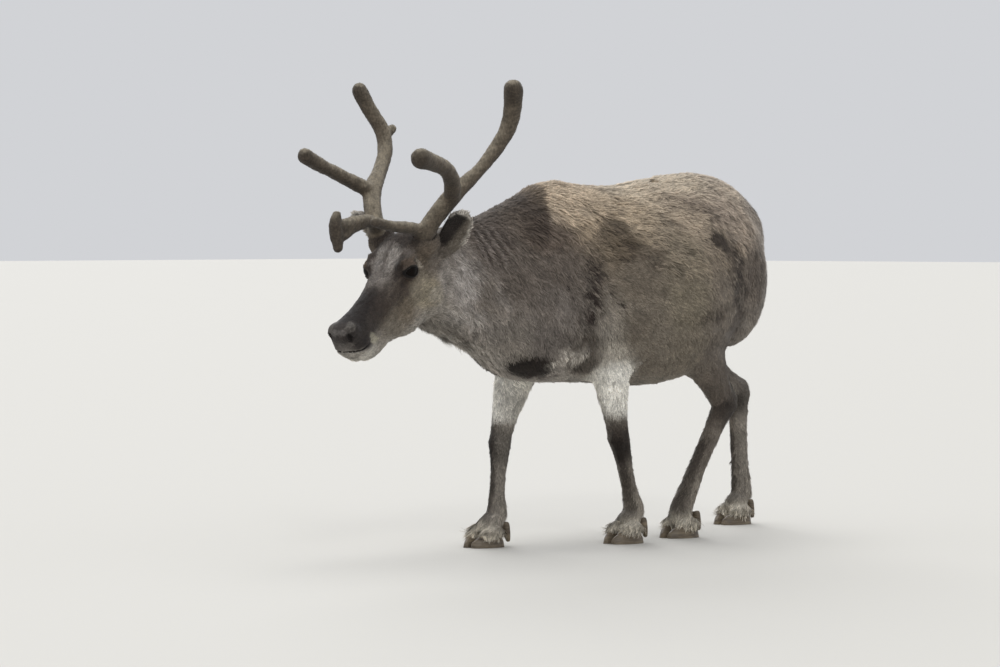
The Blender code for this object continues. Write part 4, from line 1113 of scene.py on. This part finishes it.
def rampNode(tree, noise, low, high):
    # each end as place and colour
    ramp = tree.nodes.new("ShaderNodeValToRGB")
    for end, (place, colour) in zip(ramp.color_ramp.elements, (low, high)):
        end.position = place
        end.color = (*colour, 1)
    tree.links.new(noise.outputs["Fac"], ramp.inputs["Fac"])
    return ramp


def bumpFrom(tree, noise, shader, strength, distance):
    bump = tree.nodes.new("ShaderNodeBump")
    bump.inputs["Strength"].default_value = strength
    bump.inputs["Distance"].default_value = distance
    tree.links.new(noise.outputs["Fac"], bump.inputs["Height"])
    tree.links.new(bump.outputs["Normal"], shader.inputs["Normal"])


hairLook = {
    "grain": 260,
    "low": (0.25, (0.60, 0.60, 0.60)),
    "high": (0.75, (1.12, 1.11, 1.09)),
    "bump": (0.5, 0.002),
}


def coatMaterial(name, bumpy):
    mat, tree, shader = newMaterial(name, Roughness=0.82, Specular_IOR_Level=0.22, Sheen_Weight=0.12)
    paint = tree.nodes.new("ShaderNodeVertexColor")
    paint.layer_name = "coat"
    noise = noiseNode(tree, hairLook["grain"])
    ramp = rampNode(tree, noise, hairLook["low"], hairLook["high"])
    mix = tree.nodes.new("ShaderNodeMix")
    mix.data_type = "RGBA"
    mix.blend_type = "MULTIPLY"
    mix.inputs["Factor"].default_value = 1.0
    tree.links.new(paint.outputs["Color"], mix.inputs[6])
    tree.links.new(ramp.outputs["Color"], mix.inputs[7])
    tree.links.new(mix.outputs[2], shader.inputs["Base Color"])
    if bumpy:
        bumpFrom(tree, noise, shader, *hairLook["bump"])
    return mat


skinMat = coatMaterial("skin under coat", True)
tuftMat = coatMaterial("coat tufts", False)
body.data.materials.append(skinMat)
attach(body, "root")
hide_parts(*fleshNodes)
for piece in coatPieces:
    piece.data.materials.append(tuftMat)
    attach(piece, "root")


# antlers: smooth copies of the beams and tines under a fine nap

antler = {
    "voxel": 0.0030,
    "softRounds": 8,
    "lump": 0.0007,
    "inset": 0.0014,              # room for the nap
    # painted light on the faces that look up and painted shade on the faces that look down
    "top": ("#9e9482", 0.8),      # tone and strength
    "side": "#6e6457",
    "under": ("#3b332c", 0.75),
    "tip": ("#3f3731", 0.6),
    "tipReach": 0.060,
    "speck": [(0.007, 0.22, 61), (0.022, 0.16, 62)],
    "shade": 0.85,                # under the nap
    "napPerArea": 230000,
    "napLong": 0.0021,
    "napWide": 0.0006,
    "napTurn": 0.6,               # how far the nap strays from upright
}


def antlerTone(points, facing, tips):
    colour = np.tile(tone(antler["side"]), (len(points), 1))
    (top, much), (under, less), (dark, some) = antler["top"], antler["under"], antler["tip"]
    # painted light on upward faces, painted shade on downward faces
    blendTone(colour, top, ease((facing[:, 2] + 0.1) / 0.8) * much)
    blendTone(colour, under, ease((-facing[:, 2] + 0.1) / 0.9) * less)
    for tip in tips:
        near = np.linalg.norm(points - tip, axis=1) / antler["tipReach"]
        blendTone(colour, dark, ease(1.3 - near) * some * ease((0.9 - facing[:, 2]) / 0.5))
    speck = sum(strength * drift(points, grain, seed) for grain, strength, seed in antler["speck"])
    return colour * (1 + speck)[:, None]


def buildAntler(side):
    names = [n for n in nodes if n.startswith("antler_" + side)]
    foot = np.array(middleOf("antler_%s_lower_beam" % side))
    tips = []
    for name in names:
        ends = vertexArray(nodes[name].data)
        if not name.endswith("lower_beam"):
            tips.append(ends[np.linalg.norm(ends - foot, axis=1).argmax()])
    horn = copyOf(names, "velvet_" + side, copying["swell"])
    oneSurface(horn, antler["voxel"], antler["softRounds"])
    points = vertexArray(horn.data)
    lumps = antler["lump"] * drift(points, 0.030, 63)
    movePoints(horn.data, points + vertexNormals(horn.data) * (lumps - antler["inset"])[:, None])
    unwrap(horn)
    storeTone(horn.data, antlerTone(vertexArray(horn.data), vertexNormals(horn.data), tips) * antler["shade"])
    pick(horn)
    bpy.ops.object.shade_smooth()
    surface = surfaceOf(horn.data)
    root, facing, place = scatter(surface, np.ones(len(surface[0])), antler["napPerArea"])
    spin = dice.normal(size=root.shape) * antler["napTurn"] + np.array([0, 0, 1.0])
    along = unit(spin - facing * (spin * facing).sum(1, keepdims=True))
    count = len(root)
    reach = antler["napLong"] * dice.uniform(0.6, 1.3, count)
    rise = dice.uniform(0.4, 0.9, count)
    wide = antler["napWide"] * dice.uniform(0.7, 1.3, count)
    colour = antlerTone(root, facing, tips) * dice.uniform(0.85, 1.2, count)[:, None]
    nap = grow("nap_" + side, root, facing, along, reach, rise, wide, place, colour)
    horn.data.materials.append(skinMat)
    nap.data.materials.append(tuftMat)
    for piece in (horn, nap):
        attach(piece, "root")
    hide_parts(*names)


for side in ("left", "right"):
    buildAntler(side)


# eyes: dark wet balls

eyePlan = {"radius": 0.0178, "iris": "#110a06", "edge": "#040302", "grain": 180, "rings": 32}


def eyeMaterial():
    mat, tree, shader = newMaterial("eye", Roughness=0.05, Specular_IOR_Level=0.08)
    noise = noiseNode(tree, eyePlan["grain"], 3, 0.5)
    ramp = rampNode(tree, noise, (0, tone(eyePlan["edge"])), (1, tone(eyePlan["iris"])))
    tree.links.new(ramp.outputs["Color"], shader.inputs["Base Color"])
    return mat


eyeMat = eyeMaterial()
for side in ("left", "right"):
    deselectAll()
    bpy.ops.mesh.primitive_uv_sphere_add(segments=2 * eyePlan["rings"], ring_count=eyePlan["rings"],
                                         radius=eyePlan["radius"], location=middleOf("eye_" + side))
    ball = bpy.context.active_object
    ball.name = "eyeball_" + side
    bpy.ops.object.shade_smooth()
    bpy.ops.object.transform_apply(location=True, rotation=True, scale=True)
    ball.data.materials.append(eyeMat)
    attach(ball, "root")
    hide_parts("eye_" + side)


# hooves and dewclaws: softened copies with growth rings in the horn

hoofPlan = {
    "dark": (0.3, "#4a4138"),
    "worn": (0.8, "#8a7d68"),
    "rings": (60, 3, 0.6, (0.4, 0.4, 2.2)),    # noise scale, detail, roughness and stretch
    "bump": (0.15, 0.001),
    "round": 0.0012,
    "roundFrom": 28,                           # degrees
    "smoothTo": 50,
}


def hornMaterial():
    mat, tree, shader = newMaterial("hoof horn", Roughness=0.42, Specular_IOR_Level=0.35)
    rings = noiseNode(tree, *hoofPlan["rings"])
    ends = [(place, tone(shade)) for place, shade in (hoofPlan["dark"], hoofPlan["worn"])]
    ramp = rampNode(tree, rings, *ends)
    tree.links.new(ramp.outputs["Color"], shader.inputs["Base Color"])
    bumpFrom(tree, rings, shader, *hoofPlan["bump"])
    return mat


hornMat = hornMaterial()
for name in [n for n in nodes if n.endswith(("_hoof", "_dewclaw"))]:
    claw = copyOf([name], "horn_" + name)
    if name.endswith("_hoof"):
        bevel = claw.modifiers.new("worn edge", "BEVEL")
        bevel.width = hoofPlan["round"]
        bevel.segments = 2
        bevel.angle_limit = math.radians(hoofPlan["roundFrom"])
    else:
        rounder = claw.modifiers.new("blunt", "SUBSURF")
        rounder.levels = 2
        rounder.render_levels = 2
    applyAll(claw)
    pick(claw)
    bpy.ops.object.shade_smooth_by_angle(angle=math.radians(hoofPlan["smoothTo"]))
    claw.data.materials.append(hornMat)
    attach(claw, "root")
    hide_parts(name)


# floor, light and camera

floorPlan = {"half": 70.0, "at": (2.0, 2.0, 0.0), "tone": "#c4c2bc"}
deselectAll()
bpy.ops.mesh.primitive_plane_add(size=2 * floorPlan["half"], location=floorPlan["at"])
floor = bpy.context.active_object
floor.name = "floor"
pick(floor)
bpy.ops.object.transform_apply(location=True, rotation=True, scale=True)
floorMat = newMaterial("floor", Roughness=0.9, Base_Color=(*tone(floorPlan["tone"]), 1))[0]
floor.data.materials.append(floorMat)

lights = {
    "sky": dict(fromWay=(0.20, 0.25, 1.0), power=1.45, spread=50),
    "front": dict(fromWay=(-1.0, -0.75, 0.75), power=0.20, spread=60),
    "behind": dict(fromWay=(0.75, 1.0, 0.62), power=1.1, spread=30),
    "glint": dict(fromWay=(-0.75, -1.0, 0.85), power=0.30, spread=10),
}
for name, plan in lights.items():
    deselectAll()
    bpy.ops.object.light_add(type="SUN", location=Vector(plan["fromWay"]) * 6)
    lamp = bpy.context.active_object
    lamp.name = name
    lamp.data.energy = plan["power"]
    lamp.data.angle = math.radians(plan["spread"])
    lamp.rotation_euler = (-Vector(plan["fromWay"])).to_track_quat("-Z", "Y").to_euler()

studio = {"Color": (0.94, 0.955, 0.99, 1), "Strength": 0.68}
world = bpy.data.worlds.new("studio")
world.use_nodes = True
for socket, value in studio.items():
    world.node_tree.nodes["Background"].inputs[socket].default_value = value
bpy.context.scene.world = world
bpy.context.scene.view_settings.view_transform = "Standard"

view = {"at": (-6.1653, -5.5503, 0.730), "ahead": (0.731, 0.682), "down": 1.603, "lens": 126.7, "film": 36}
ahead = Vector((*view["ahead"], 0)).normalized()
pitch = math.radians(view["down"])
look = ahead * math.cos(pitch) - Vector((0, 0, math.sin(pitch)))
bpy.ops.object.camera_add(location=view["at"], rotation=look.to_track_quat("-Z", "Y").to_euler())
camera = bpy.context.active_object
camera.data.lens = view["lens"]
camera.data.sensor_width = view["film"]
bpy.context.scene.camera = camera

print("scene ready")
